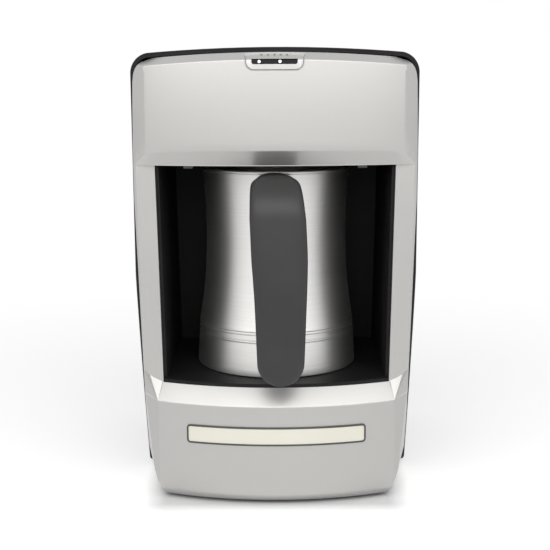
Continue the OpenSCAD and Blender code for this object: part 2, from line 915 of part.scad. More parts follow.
module terminal_block() color([0.85, 0.85, 0.8]) {
    on_board(terminal_place) difference() {
        cube(terminal_size);
        for (i = [-1:1])
            bar_y(terminal_size[0] / 2 + i * terminal_pitch, terminal_size[2] / 2, terminal_r,
                  terminal_size[1] - terminal_d, terminal_size[1] + over);
    }
}

// Bush of the mains cord
gland_wall = 2.4;
gland_flange = 2;
gland_flange_d = 3;
gland_r = cord_hole_r + gland_wall;
module inlet_gland() color(black) {
    difference() {
        union() {
            bar_y(cord_x, cord_z, gland_r, back_y - wall, back_y);
            bar_y(cord_x, cord_z, gland_r + gland_flange, back_y - wall - gland_flange_d, back_y - wall);
        }
        bar_y(cord_x, cord_z, cord_hole_r, back_y - wall - gland_flange_d - over, back_y + over);
    }
}

// Wires from the power board up to the control board
wire_r = 1.1;
wire_pitch = 4;
wire_x = -14;
// How far they start in front of the terminal block
wire_in = 4;
// How far they run behind the cavity, and above the control board's lower edge
wire_back = 16;
wire_rise = 8;
wire_y = power_y0 + terminal_place[1] - wire_in;
wire_up = 30;
wire_run_y = cavity_back_y + liner_wall + wire_back;
wire_over_z = board_low_z + wire_rise;
wire_end_d = 3;
module wire_path(pts) {
    for (i = [0:len(pts) - 2]) {
        d = pts[i + 1] - pts[i];
        l = norm(d);
        translate(pts[i])
            rotate([0, acos(d[2] / l), atan2(d[1], d[0])]) cylinder(r = wire_r, h = l);
        if (i > 0) translate(pts[i]) sphere(r = wire_r);
    }
}

module wire_loom() color([0.7, 0.1, 0.1]) {
    for (i = [-1:1]) {
        x = wire_x + i * wire_pitch;
        up_z = parts_z + wire_up - i * wire_pitch;
        run_y = wire_run_y + i * wire_pitch;
        over_z = wire_over_z + i * wire_pitch;
        end_y = board_y + board_t;
        wire_path([[x, wire_y, parts_z], [x, wire_y, up_z], [x, run_y, up_z], [x, run_y, over_z],
                   [x, end_y + wire_end_d * (i + 2), over_z], [x, end_y, over_z]]);
    }
}

// The pot. Heights are above its own foot.
body_z = skirt_h + seal_h;
groove_up = 3.5;
groove_h = 1.3;
groove_d = 0.5;
groove_edge = 0.2;
groove_z = body_z + groove_up;
band_h = groove_z + groove_h;
floor_low = body_z + 1;
floor_t = 1.5;
rim_out = 0.6;
// Outer radius of the pot at height z
function pot_r(z) =
    z < band_h ? pot_foot_r + (pot_band_r - pot_foot_r) * z / band_h :
    z < pot_waist_h ? pot_waist_r + (pot_band_r - pot_waist_r)
        * pow((pot_waist_h - z) / (pot_waist_h - band_h), 2) :
    pot_waist_r + (pot_rim_r - pot_waist_r) * pow((z - pot_waist_h) / (pot_h - pot_waist_h), 2);
// Heights at which the pot's side is drawn
pot_zs = [for (i = [0:24]) band_h + (pot_h - rim_bead_h - band_h) * i / 24];

// Places pieces that belong to the pot
module in_pot() {
    translate([0, pot_y, pot_z]) children();
}

module pot_body() color(steel) {
    outer = [for (z = pot_zs) [pot_r(z), z]];
    inner = [for (i = [len(pot_zs) - 1:-1:0]) [pot_r(pot_zs[i]) - pot_wall, pot_zs[i]]];
    in_pot() rotate_extrude() polygon(concat(
        [[0, floor_low], [pot_r(body_z) - pot_wall, floor_low], [pot_r(body_z) - pot_wall, body_z],
         [pot_r(body_z), body_z], [pot_r(groove_z), groove_z],
         [pot_r(groove_z) - groove_d, groove_z + groove_edge],
         [pot_r(band_h) - groove_d, band_h - groove_edge]],
        outer,
        [[pot_rim_r + rim_out, pot_h - rim_bead_h], [pot_rim_r + rim_out, pot_h],
         [pot_rim_r - pot_wall, pot_h]],
        inner,
        [[pot_r(band_h) - pot_wall, floor_low + floor_t], [0, floor_low + floor_t]]));
}

skirt_wall = 1.2;
skirt_in = pot_r(skirt_h) - skirt_wall;
ledge_in = 7;
ledge_r = pot_band_r - ledge_in;
module base_skirt() color(steel) {
    in_pot() difference() {
        rotate_extrude() polygon([[skirt_in, 0], [pot_foot_r, 0], [pot_r(skirt_h), skirt_h],
            [ledge_r, skirt_h], [ledge_r, skirt_h - skirt_wall], [skirt_in, skirt_h - skirt_wall]]);
        block([-plug_w / 2, 0, block_edge], [plug_w / 2, far, skirt_h - block_edge]);
    }
}

module pot_seal_ring() color(black) {
    in_pot() translate([0, 0, skirt_h]) difference() {
        cylinder(r = pot_r(skirt_h) - groove_d, h = seal_h);
        translate([0, 0, -over]) cylinder(r = ledge_r, h = seal_h + 2 * over);
    }
}

plate_low = skirt_h - skirt_wall;
module heat_plate() color([0.7, 0.7, 0.7]) {
    in_pot() difference() {
        translate([0, 0, plate_low]) cylinder(r = ledge_r, h = floor_low - plate_low);
        for (a = pot_screw_angles)
            rotate(a) bar_z(pot_screw_pcr, 0, screw_r, plate_low - over, plate_low + pot_bore_d);
    }
}

element_r = 26;
element_w = 5;
element_h = 5;
element_end_x = 7;
element_end_r = 1.4;
element_low = plate_low - element_h;
module heating_element() color([0.4, 0.4, 0.42]) {
    in_pot() {
        rotate_extrude() translate([element_r - element_w / 2, element_low])
            square([element_w, plate_low - element_low]);
        for (side = [-1, 1])
            bar_z(side * element_end_x, sqrt(pow(element_r, 2) - pow(element_end_x, 2)), element_end_r,
                  element_low - element_h, element_low);
    }
}

thermostat_r = 8;
thermostat_h = 7;
tab_x = 5;
tab_size = [3, 4, 4];
module pot_thermostat() color([0.9, 0.9, 0.85]) {
    in_pot() {
        bar_z(0, 0, thermostat_r, plate_low - thermostat_h, plate_low);
        for (side = [-1, 1])
            translate([side * tab_x - tab_size[0] / 2, -tab_size[1] / 2, plate_low - thermostat_h - tab_size[2]])
                cube(tab_size);
    }
}

pot_screw_angles = [30, 150, 270];
pot_screw_pcr = ledge_r - boss_r - 0.4;
pot_bore_d = 3;
cover_t = 2.4;
seat_z = head_h + 0.2;
module pot_base_cover() color(black) {
    in_pot() difference() {
        union() {
            cylinder(r = skirt_in, h = cover_t);
            for (a = pot_screw_angles)
                rotate(a) bar_z(pot_screw_pcr, 0, boss_r, 0, plate_low);
        }
        for (a = pot_screw_angles)
            rotate(a) {
                bar_z(pot_screw_pcr, 0, screw_r, -over, far);
                bar_z(pot_screw_pcr, 0, head_r, -over, seat_z);
            }
    }
}

module pot_base_screws() color(steel) {
    in_pot() for (a = pot_screw_angles)
        rotate(a) translate([pot_screw_pcr, 0, seat_z]) screw(plate_low + over - head_h);
}

// Connector at the pot's back, with contacts that stand a little out of it
plug_d = 9;
pot_contact_r = contact_r + 0.5;
pot_contact_out = 0.4;
pot_contact_in = 12;
module pot_connector() color(black) {
    in_pot() difference() {
        block([-plug_w / 2, pot_foot_r - plug_d, block_edge],
              [plug_w / 2, pot_foot_r + plug_out - pot_contact_out, skirt_h - block_edge]);
        for (i = [-1:1])
            bar_y(i * contact_pitch, contact_z - pot_z, pot_contact_r, 0, far);
    }
}

module pot_contacts() color(brass) {
    in_pot() for (i = [-1:1])
        bar_y(i * contact_pitch, contact_z - pot_z, pot_contact_r, pot_foot_r - pot_contact_in,
              pot_foot_r + plug_out);
}

// The handle, drawn with its distance from the pot's axis along -Y
grip_in = handle_reach - grip_t;
arm_low = pot_h - arm_t;
// Bracket: saddle against the jug, and tongue inside the arm
bracket_t = 1.5;
saddle_half_w = 9;
tongue_t = 2;
tongue_w = 12;
tongue_in = 6;
tongue_z = arm_low + arm_t / 2;
tongue_end = grip_in - tongue_in;
arm_in = pot_rim_r + bracket_t + rim_out;
// Shape of the grip: bend at its top, waist height as a share of the pot, and taper at its end
bend_r = 9;
grip_waist = 0.35;
grip_waist_in = 1;
grip_end_in = 2.5;
grip_end_t = 7.7;
grip_top_r = 7.5;
// Screw that holds the arm to the tongue, with its seat and the plastic left above it
handle_seat_z = arm_low + head_h + 0.4;
handle_screw_top = pot_h - 3;
handle_screw_u = (arm_in + tongue_end) / 2;

// Places pieces that belong to the handle, with u outwards along -Y
module in_handle() {
    in_pot() rotate(handle_turn) children();
}

// Side view of the handle
module handle_side() {
    polygon(concat(
        [[-arm_in / 2, arm_low], [-arm_in / 2, pot_h]],
        arc([-(handle_reach - bend_r), pot_h - bend_r], bend_r, 90, 180),
        [[-(handle_reach - grip_waist_in), pot_h * grip_waist],
         [-(handle_reach - grip_end_in), handle_end_z],
         [-(handle_reach - grip_end_in - grip_end_t), handle_end_z],
         [-grip_in, pot_h * grip_waist], [-grip_in, arm_low - bend_r / 2]],
        arc([-(grip_in - bend_r / 2), arm_low - bend_r / 2], bend_r / 2, 180, 90)));
}

// Front view of the handle
module handle_front() {
    r = handle_end_w / 2;
    top_x = handle_w / 2 - grip_top_r;
    top_z = pot_h - grip_top_r;
    intersection() {
        union() {
            polygon(both_sides([[r, handle_end_z + r], [handle_w / 2, top_z - grip_top_r],
                                [handle_w / 2, pot_h + over]]));
            translate([0, handle_end_z + r]) circle(r = r);
        }
        union() {
            block2([-far, -far], [far, top_z]);
            block2([-top_x, 0], [top_x, pot_h]);
            for (side = [-1, 1])
                translate([side * top_x, top_z]) circle(r = grip_top_r);
        }
    }
}

module handle() color([0.25, 0.24, 0.24]) {
    in_handle() difference() {
        intersection() {
            along_x(-far, far) handle_side();
            along_y(-far, 0) handle_front();
        }
        cylinder(r = arm_in, h = far);
        block([-tongue_w / 2, -tongue_end, tongue_z - tongue_t / 2],
              [tongue_w / 2, 0, tongue_z + tongue_t / 2]);
        bar_z(0, -handle_screw_u, screw_r, 0, handle_screw_top);
        bar_z(0, -handle_screw_u, head_r, 0, handle_seat_z);
    }
}

module handle_bracket() color(steel) {
    saddle_zs = [for (z = pot_zs) if (z > arm_low && z < pot_h - rim_bead_h) z];
    in_handle() difference() {
        union() {
            intersection() {
                rotate_extrude() polygon(concat(
                    [for (z = saddle_zs) [pot_r(z), z]],
                    [for (i = [len(saddle_zs) - 1:-1:0]) [arm_in, saddle_zs[i]]]));
                block([-saddle_half_w, -far, 0], [saddle_half_w, 0, far]);
            }
            block([-tongue_w / 2, -tongue_end, tongue_z - tongue_t / 2],
                  [tongue_w / 2, -(arm_in - bracket_t), tongue_z + tongue_t / 2]);
        }
        bar_z(0, -handle_screw_u, screw_r, 0, far);
    }
}

module handle_screw() color(steel) {
    in_handle() translate([0, -handle_screw_u, handle_seat_z])
        screw(handle_screw_top - gap - handle_seat_z);
}

// The start button with its window and lights
flange_out = 1.8;
// Wall left behind the window, and the window's depth below the button's face
window_back = 2;
window_in = 0.5;
module start_button() color(silver) {
    flange_y = header_y + sagitta(header_r, button_w / 2 + flange_out) + wall + gap;
    difference() {
        union() {
            intersection() {
                fascia_mass(0);
                along_y(-far, button_back_y) button_outline(0);
            }
            block([-(button_w / 2 + flange_out), flange_y, button_low_z - flange_out],
                  [button_w / 2 + flange_out, button_back_y, board_high_z - gap]);
            bar_y(0, stem_z, stem_r, button_back_y, plunger_y - button_travel - gap);
        }
        block([-window_w / 2, -far, window_z - window_h / 2],
              [window_w / 2, button_back_y - window_back, window_z + window_h / 2]);
    }
}

module window_block() {
    intersection() {
        translate([0, window_in, 0]) fascia_mass(0);
        block([-window_w / 2, -far, window_z - window_h / 2],
              [window_w / 2, button_back_y - window_back, window_z + window_h / 2]);
    }
}

module button_window() color(black) {
    difference() {
        window_block();
        for (x = lens_xs)
            bar_y(x, window_z, dot_r, -far, far);
    }
}

module indicator_lenses() color([1, 1, 1]) {
    intersection() {
        window_block();
        for (x = lens_xs)
            bar_y(x, window_z, dot_r, -far, far);
    }
}

front_fascia();
rear_housing();
cavity_liner();
liner_clips();
base_plate();
rubber_feet();
base_screws();
fascia_screws();
label_plate();
label_bezel();
control_board();
tact_switch();
board_leds();
board_screws();
buzzer();
sensor_housing();
sensor_lens();
contact_block();
contact_pins();
power_board();
power_board_screws();
transformer();
relay();
capacitor();
fuse();
terminal_block();
inlet_gland();
wire_loom();
pot_body();
base_skirt();
pot_seal_ring();
heat_plate();
heating_element();
pot_thermostat();
pot_base_cover();
pot_base_screws();
pot_connector();
pot_contacts();
handle();
handle_bracket();
handle_screw();
start_button();
button_window();
indicator_lenses();
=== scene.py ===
"""Dresses an electric Turkish coffee maker round its CAD frame: shapes, finishes and light."""
import logging
import math
from dataclasses import dataclass
from enum import Enum
from typing import Callable, Iterable, NamedTuple, Sequence

import bmesh
import bpy
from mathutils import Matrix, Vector


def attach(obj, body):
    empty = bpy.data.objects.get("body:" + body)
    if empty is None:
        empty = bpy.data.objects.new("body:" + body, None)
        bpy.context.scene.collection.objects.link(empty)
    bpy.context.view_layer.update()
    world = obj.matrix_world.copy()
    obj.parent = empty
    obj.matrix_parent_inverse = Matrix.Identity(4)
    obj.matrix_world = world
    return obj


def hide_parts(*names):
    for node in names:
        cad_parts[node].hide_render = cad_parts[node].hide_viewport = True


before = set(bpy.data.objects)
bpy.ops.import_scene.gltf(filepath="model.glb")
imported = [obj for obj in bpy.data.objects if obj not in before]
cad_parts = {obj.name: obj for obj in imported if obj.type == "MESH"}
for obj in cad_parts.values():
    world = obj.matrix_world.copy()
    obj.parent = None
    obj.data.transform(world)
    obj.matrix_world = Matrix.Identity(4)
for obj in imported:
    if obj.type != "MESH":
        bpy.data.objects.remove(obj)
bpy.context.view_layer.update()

MM = 0.001
LOG = logging.getLogger("coffee_maker")

Triple = tuple[float, float, float]
Pair = tuple[float, float]
Cut = tuple[Triple, Triple]
Test = Callable[[Vector], bool]
PairTest = Callable[[Vector, Vector], bool]

UP = (0, 0, 1)
BACKWARDS = (0, 1, 0)
ORIGIN = (0, 0, 0)
SIDES = (-1, 1)
DOUBLES = 1e-6
FINE_DOUBLES = 5e-6
COARSE_DOUBLES = 1e-5
CUT_GAP = 1e-7
NEAR = 0.01
CLOSE = 0.1
FACING = 0.9


class Body(Enum):
    """The bodies that pieces ride on."""

    MACHINE = "machine"
    POT = "pot"
    BUTTON = "button"


class Join(Enum):
    """How one solid is joined with another."""

    ADD = "UNION"
    CUT = "DIFFERENCE"
    KEEP_COMMON = "INTERSECT"


class Axis(Enum):
    """Direction of a round bar, as the turn that lays an upright bar that way."""

    Y = (math.pi / 2, 0, 0)
    Z = (0, 0, 0)


class Part(Enum):
    """What is selected in edit mode."""

    VERTS = "VERT"
    EDGES = "EDGE"
    FACES = "FACE"


def spread(start: float, end: float, steps: int) -> list[float]:
    """Values from start to end in even steps, with both ends."""
    return [start + (end - start) * i / steps for i in range(steps + 1)]


def arc(centre: Pair, radius: float, start: float, end: float, steps: int) -> list[Pair]:
    """Points along an arc.

    Args:
        centre: centre of the arc.
        radius: radius of the arc.
        start: first angle in degrees.
        end: last angle in degrees.
        steps: number of stretches.

    Returns:
        The points, with both ends.
    """
    angles = [math.radians(a) for a in spread(start, end, steps)]
    return [(centre[0] + radius * math.cos(a), centre[1] + radius * math.sin(a)) for a in angles]


def sagitta(radius: float, x: float) -> float:
    """Depth of a bow of that radius at the distance x from its middle."""
    return radius - math.sqrt(radius * radius - x * x)


def metres(place: Iterable[float]) -> list[float]:
    """A place in millimetres, in metres."""
    return [c * MM for c in place]


def set_in(point: Vector, normal: Vector, inset: float) -> Cut:
    """A plane through a point, moved in against its outward direction."""
    return tuple(point - normal * inset), tuple(normal)


class Bench:
    """Hand tools for modelling. Sizes and places are in millimetres."""

    @staticmethod
    def clear() -> None:
        """Leaves edit mode and deselects everything."""
        if bpy.context.object is not None and bpy.context.object.mode != "OBJECT":
            bpy.ops.object.mode_set(mode="OBJECT")
        bpy.ops.object.select_all(action="DESELECT")

    @staticmethod
    def take(obj: bpy.types.Object) -> None:
        """Makes one object the only selected one, and active.

        Args:
            obj: the object.
        """
        Bench.clear()
        obj.select_set(True)
        bpy.context.view_layer.objects.active = obj

    @staticmethod
    def adopt(name: str) -> bpy.types.Object:
        """Names the primitive just added and moves its place into its mesh.

        Args:
            name: name of the piece.

        Returns:
            The new object, at the origin.
        """
        bpy.ops.object.transform_apply(location=True, rotation=True, scale=True)
        obj = bpy.context.object
        obj.name = name
        obj.data.name = name
        return obj

    @staticmethod
    def cube(name: str, low: Triple, high: Triple) -> bpy.types.Object:
        """Adds a block between two opposite corners.

        Args:
            name: name of the piece.
            low: lowest corner.
            high: highest corner.

        Returns:
            The block.
        """
        Bench.clear()
        middle = metres((a + b) / 2 for a, b in zip(low, high))
        size = metres(b - a for a, b in zip(low, high))
        bpy.ops.mesh.primitive_cube_add(size=1, location=middle, scale=size)
        return Bench.adopt(name)

    @staticmethod
    def cylinder(name: str, middle: Triple, radius: float, height: float, axis: Axis = Axis.Z,
                 sides: int = 96) -> bpy.types.Object:
        """Adds a round bar.

        Args:
            name: name of the piece.
            middle: centre of the bar.
            radius: radius of the bar.
            height: length of the bar.
            axis: direction of the bar.
            sides: number of sides.

        Returns:
            The bar.
        """
        Bench.clear()
        bpy.ops.mesh.primitive_cylinder_add(vertices=sides, radius=radius * MM, depth=height * MM,
                                            location=metres(middle), rotation=axis.value)
        return Bench.adopt(name)

    @staticmethod
    def edit(obj: bpy.types.Object, part: Part = Part.VERTS, whole: bool = True) -> None:
        """Opens a piece in edit mode.

        Args:
            obj: the piece.
            part: what is selected in it.
            whole: whether all of it is selected.
        """
        Bench.take(obj)
        bpy.ops.object.mode_set(mode="EDIT")
        Bench.select(part)
        bpy.ops.mesh.select_all(action="SELECT" if whole else "DESELECT")

    @staticmethod
    def select(part: Part) -> None:
        """Sets what is selected in edit mode."""
        bpy.ops.mesh.select_mode(type=part.value)

    @staticmethod
    def pick(obj: bpy.types.Object, test: Test) -> None:
        """Selects the vertices that pass a test.

        Args:
            obj: the piece, in edit mode.
            test: takes the place of a vertex in millimetres.
        """
        mesh = bmesh.from_edit_mesh(obj.data)
        for vert in mesh.verts:
            vert.select_set(test(vert.co / MM))
        mesh.select_flush_mode()
        bmesh.update_edit_mesh(obj.data)

    @staticmethod
    def pick_edges(obj: bpy.types.Object, test: PairTest) -> None:
        """Selects the edges whose two ends pass a test.

        Args:
            obj: the piece, in edit mode.
            test: takes the two ends in millimetres.
        """
        mesh = bmesh.from_edit_mesh(obj.data)
        for edge in mesh.edges:
            edge.select_set(False)
        for edge in mesh.edges:
            if test(edge.verts[0].co / MM, edge.verts[1].co / MM):
                edge.select_set(True)
        bmesh.update_edit_mesh(obj.data)

    @staticmethod
    def pick_faces(obj: bpy.types.Object, test: PairTest) -> None:
        """Selects the faces that pass a test.

        Args:
            obj: the piece, in edit mode.
            test: takes a face's centre in millimetres and its normal.
        """
        mesh = bmesh.from_edit_mesh(obj.data)
        for face in mesh.faces:
            face.select_set(False)
        for face in mesh.faces:
            if test(face.calc_center_median() / MM, face.normal):
                face.select_set(True)
        bmesh.update_edit_mesh(obj.data)

    @staticmethod
    def done() -> None:
        """Leaves edit mode."""
        bpy.ops.object.mode_set(mode="OBJECT")

    @staticmethod
    def shift(offset: Triple) -> None:
        """Moves what is selected in edit mode."""
        bpy.ops.transform.translate(value=metres(offset))

    @staticmethod
    def grow(factors: Triple, centre: Triple) -> None:
        """Scales what is selected in edit mode about a centre."""
        bpy.ops.transform.resize(value=factors, center_override=metres(centre))

    @staticmethod
    def raise_region(offset: Triple) -> None:
        """Extrudes what is selected in edit mode."""
        bpy.ops.mesh.extrude_region_move(TRANSFORM_OT_translate={"value": metres(offset)})

    @staticmethod
    def merge(distance: float) -> None:
        """Merges the points of the selection, in edit mode, that are nearer than that in metres."""
        bpy.ops.mesh.remove_doubles(threshold=distance)

    @staticmethod
    def face_out() -> None:
        """Turns the selected faces outwards in edit mode."""
        bpy.ops.mesh.normals_make_consistent(inside=False)

    @staticmethod
    def round_edges(obj: bpy.types.Object, test: PairTest, width: float, segments: int = 3) -> None:
        """Rounds the edges whose two ends pass a test.

        Args:
            obj: the piece.
            test: takes the two ends of an edge in millimetres.
            width: width of the rounding.
            segments: number of its strips.
        """
        Bench.edit(obj, Part.EDGES, False)
        Bench.pick_edges(obj, test)
        bpy.ops.mesh.bevel(offset=width * MM, segments=segments, affect="EDGES",
                           clamp_overlap=False)
        Bench.done()

    @staticmethod
    def mirror(obj: bpy.types.Object) -> None:
        """Mirrors a piece to the other side.

        Args:
            obj: the piece.
        """
        Bench.edit(obj)
        bpy.ops.transform.mirror(constraint_axis=(True, False, False), center_override=ORIGIN)
        Bench.face_out()
        Bench.done()

    @staticmethod
    def slice(obj: bpy.types.Object, planes: Iterable[Cut]) -> None:
        """Cuts away what lies in front of each plane and closes the cut.

        Args:
            obj: a convex piece.
            planes: a point on each plane and the direction that is cut away.
        """
        Bench.edit(obj)
        for point, normal in planes:
            bpy.ops.mesh.select_all(action="SELECT")
            bpy.ops.mesh.bisect(plane_co=metres(point), plane_no=Vector(normal).normalized(),
                                use_fill=True, clear_outer=True, threshold=CUT_GAP)
        Bench.done()

    @staticmethod
    def score(obj: bpy.types.Object, levels: Iterable[float]) -> None:
        """Adds level edge loops.

        Args:
            obj: the piece.
            levels: height of each loop.
        """
        Bench.edit(obj)
        for z in levels:
            bpy.ops.mesh.select_all(action="SELECT")
            bpy.ops.mesh.bisect(plane_co=metres((0, 0, z)), plane_no=UP)
        Bench.done()

    @staticmethod
    def draw(name: str, points: Sequence[Triple], closed: bool) -> bpy.types.Object:
        """Draws a line from vertex to vertex, as with single-vertex modelling.

        Args:
            name: name of the piece.
            points: the corners.
            closed: whether the line is closed and filled with a face.

        Returns:
            The line or the face.
        """
        Bench.clear()
        bpy.ops.mesh.primitive_plane_add(size=MM, location=metres(points[0]))
        obj = Bench.adopt(name)
        Bench.edit(obj)
        bpy.ops.mesh.merge(type="CENTER")
        for here, there in zip(points, points[1:]):
            step = metres(b - a for a, b in zip(here, there))
            bpy.ops.mesh.extrude_vertices_move(TRANSFORM_OT_translate={"value": step})
        if closed:
            mesh = bmesh.from_edit_mesh(obj.data)
            mesh.verts.ensure_lookup_table()
            for vert in mesh.verts:
                vert.select_set(False)
            for end in (0, -1):
                mesh.verts[end].select_set(True)
            bmesh.update_edit_mesh(obj.data)
            bpy.ops.mesh.edge_face_add()
            bpy.ops.mesh.select_all(action="SELECT")
            bpy.ops.mesh.edge_face_add()
        Bench.done()
        return obj

    @staticmethod
    def prism(name: str, points: Sequence[Triple], offset: Triple) -> bpy.types.Object:
        """Draws a closed outline and extrudes it.

        Args:
            name: name of the piece.
            points: corners of the flat outline.
            offset: direction and length of the extrusion.

        Returns:
            The prism, with its faces pointing outwards.
        """
        obj = Bench.draw(name, points, True)
        Bench.edit(obj, Part.FACES)
        Bench.raise_region(offset)
        bpy.ops.mesh.select_all(action="SELECT")
        Bench.face_out()
        Bench.done()
        return obj

    @staticmethod
    def turn(name: str, profile: Sequence[Pair], centre: Pair,
             steps: int = 128) -> bpy.types.Object:
        """Turns a closed profile on a lathe.

        Args:
            name: name of the piece.
            profile: radius and height of each point.
            centre: place of the upright axis.
            steps: number of steps round.

        Returns:
            The turned piece, with its faces pointing outwards.
        """
        points = [(centre[0] + r, centre[1], z) for r, z in profile]
        obj = Bench.draw(name, points + points[:1], False)
        Bench.edit(obj)
        bpy.ops.mesh.spin(steps=steps, angle=2 * math.pi, center=metres((*centre, 0)), axis=UP)
        bpy.ops.mesh.select_all(action="SELECT")
        Bench.merge(DOUBLES)
        bpy.ops.mesh.delete_loose()
        bpy.ops.mesh.select_all(action="SELECT")
        Bench.face_out()
        Bench.done()
        return obj

    @staticmethod
    def stack(name: str, centre_y: float, rings: Sequence[Pair],
              sides: int = 480) -> bpy.types.Object:
        """Builds a round column from rings, by extruding and scaling its top.

        Args:
            name: name of the piece.
            centre_y: place of the upright axis along Y.
            rings: radius and height of each ring, from the lowest up.
            sides: number of sides.

        Returns:
            The column.
        """
        (r0, z0), (r1, z1) = rings[0], rings[1]
        obj = Bench.cylinder(name, (0, centre_y, (z0 + z1) / 2), r0, z1 - z0, sides=sides)
        Bench.edit(obj, Part.FACES)
        Bench.pick_faces(obj, lambda c, n: n.z > FACING)
        Bench.grow((r1 / r0, r1 / r0, 1), (0, centre_y, z1))
        for (ra, za), (rb, zb) in zip(rings[1:], rings[2:]):
            Bench.raise_region((0, 0, zb - za))
            Bench.grow((rb / ra, rb / ra, 1), (0, centre_y, zb))
        Bench.done()
        return obj

    @staticmethod
    def mould(obj: bpy.types.Object, place: Callable[[Vector], Triple]) -> None:
        """Moves every vertex by a rule.

        Args:
            obj: the piece.
            place: gives the new place for the old one, in millimetres.
        """
        Bench.edit(obj)
        mesh = bmesh.from_edit_mesh(obj.data)
        for vert in mesh.verts:
            vert.co = Vector(place(vert.co / MM)) * MM
        bmesh.update_edit_mesh(obj.data)
        Bench.done()

    @staticmethod
    def copy(obj: bpy.types.Object, name: str) -> bpy.types.Object:
        """Copies a piece with its own mesh.

        Args:
            obj: the piece.
            name: name of the copy.

        Returns:
            The copy.
        """
        Bench.clear()
        twin = obj.copy()
        twin.data = obj.data.copy()
        twin.name = name
        twin.data.name = name
        bpy.context.scene.collection.objects.link(twin)
        return twin

    @staticmethod
    def join_solid(obj: bpy.types.Object, other: bpy.types.Object, how: Join,
                   keep: bool = False) -> None:
        """Joins a solid with another one.

        Args:
            obj: the piece that is changed.
            other: the other solid.
            how: whether it is added, cut away or intersected.
            keep: whether the other solid stays.
        """
        Bench.take(obj)
        modifier = obj.modifiers.new("join", "BOOLEAN")
        modifier.operation = how.value
        modifier.solver = "EXACT"
        modifier.object = other
        bpy.ops.object.modifier_apply(modifier=modifier.name)
        if not keep:
            bpy.data.objects.remove(other)

    @staticmethod
    def soften(obj: bpy.types.Object, width: float, segments: int = 3, angle: float = 25) -> None:
        """Rounds the edges that are sharper than an angle.

        Args:
            obj: the piece.
            width: width of the rounding.
            segments: number of its strips.
            angle: smallest angle in degrees.
        """
        Bench.take(obj)
        modifier = obj.modifiers.new("soften", "BEVEL")
        modifier.width = width * MM
        modifier.segments = segments
        modifier.limit_method = "ANGLE"
        modifier.angle_limit = math.radians(angle)
        modifier.use_clamp_overlap = False
        bpy.ops.object.modifier_apply(modifier=modifier.name)

    @staticmethod
    def tidy(obj: bpy.types.Object, angle: float = 30, merge: float = DOUBLES) -> None:
        """Merges doubles, turns faces outwards and shades smooth below an angle.

        Args:
            obj: the piece.
            angle: angle in degrees above which edges stay sharp.
            merge: distance in metres below which points are merged.
        """
        Bench.edit(obj)
        Bench.merge(merge)
        Bench.face_out()
        Bench.done()
        Bench.take(obj)
        bpy.ops.object.shade_smooth_by_angle(angle=math.radians(angle))


def mix_shaders(tree: bpy.types.NodeTree, mask: bpy.types.NodeSocket,
                first: bpy.types.NodeSocket,
                second: bpy.types.NodeSocket) -> bpy.types.NodeSocket:
    """Mixes two shaders by a mask.

    Args:
        tree: the node tree.
        mask: nought for the first shader, one for the second.
        first: the first shader.
        second: the second shader.

    Returns:
        The mixed shader.
    """
    made = tree.nodes.new("ShaderNodeMixShader")
    for source, socket in zip((mask, first, second), made.inputs):
        tree.links.new(source, socket)
    return made.outputs[0]


def calculate(tree: bpy.types.NodeTree, operation: str, first: bpy.types.NodeSocket,
              second: bpy.types.NodeSocket) -> bpy.types.NodeSocket:
    """Calculates with two values of a node tree.

    Args:
        tree: the node tree.
        operation: what is done with them, such as ADD.
        first: the first value.
        second: the second value.

    Returns:
        The result.
    """
    made = tree.nodes.new("ShaderNodeMath")
    made.operation = operation
    tree.links.new(first, made.inputs[0])
    tree.links.new(second, made.inputs[1])
    return made.outputs[0]


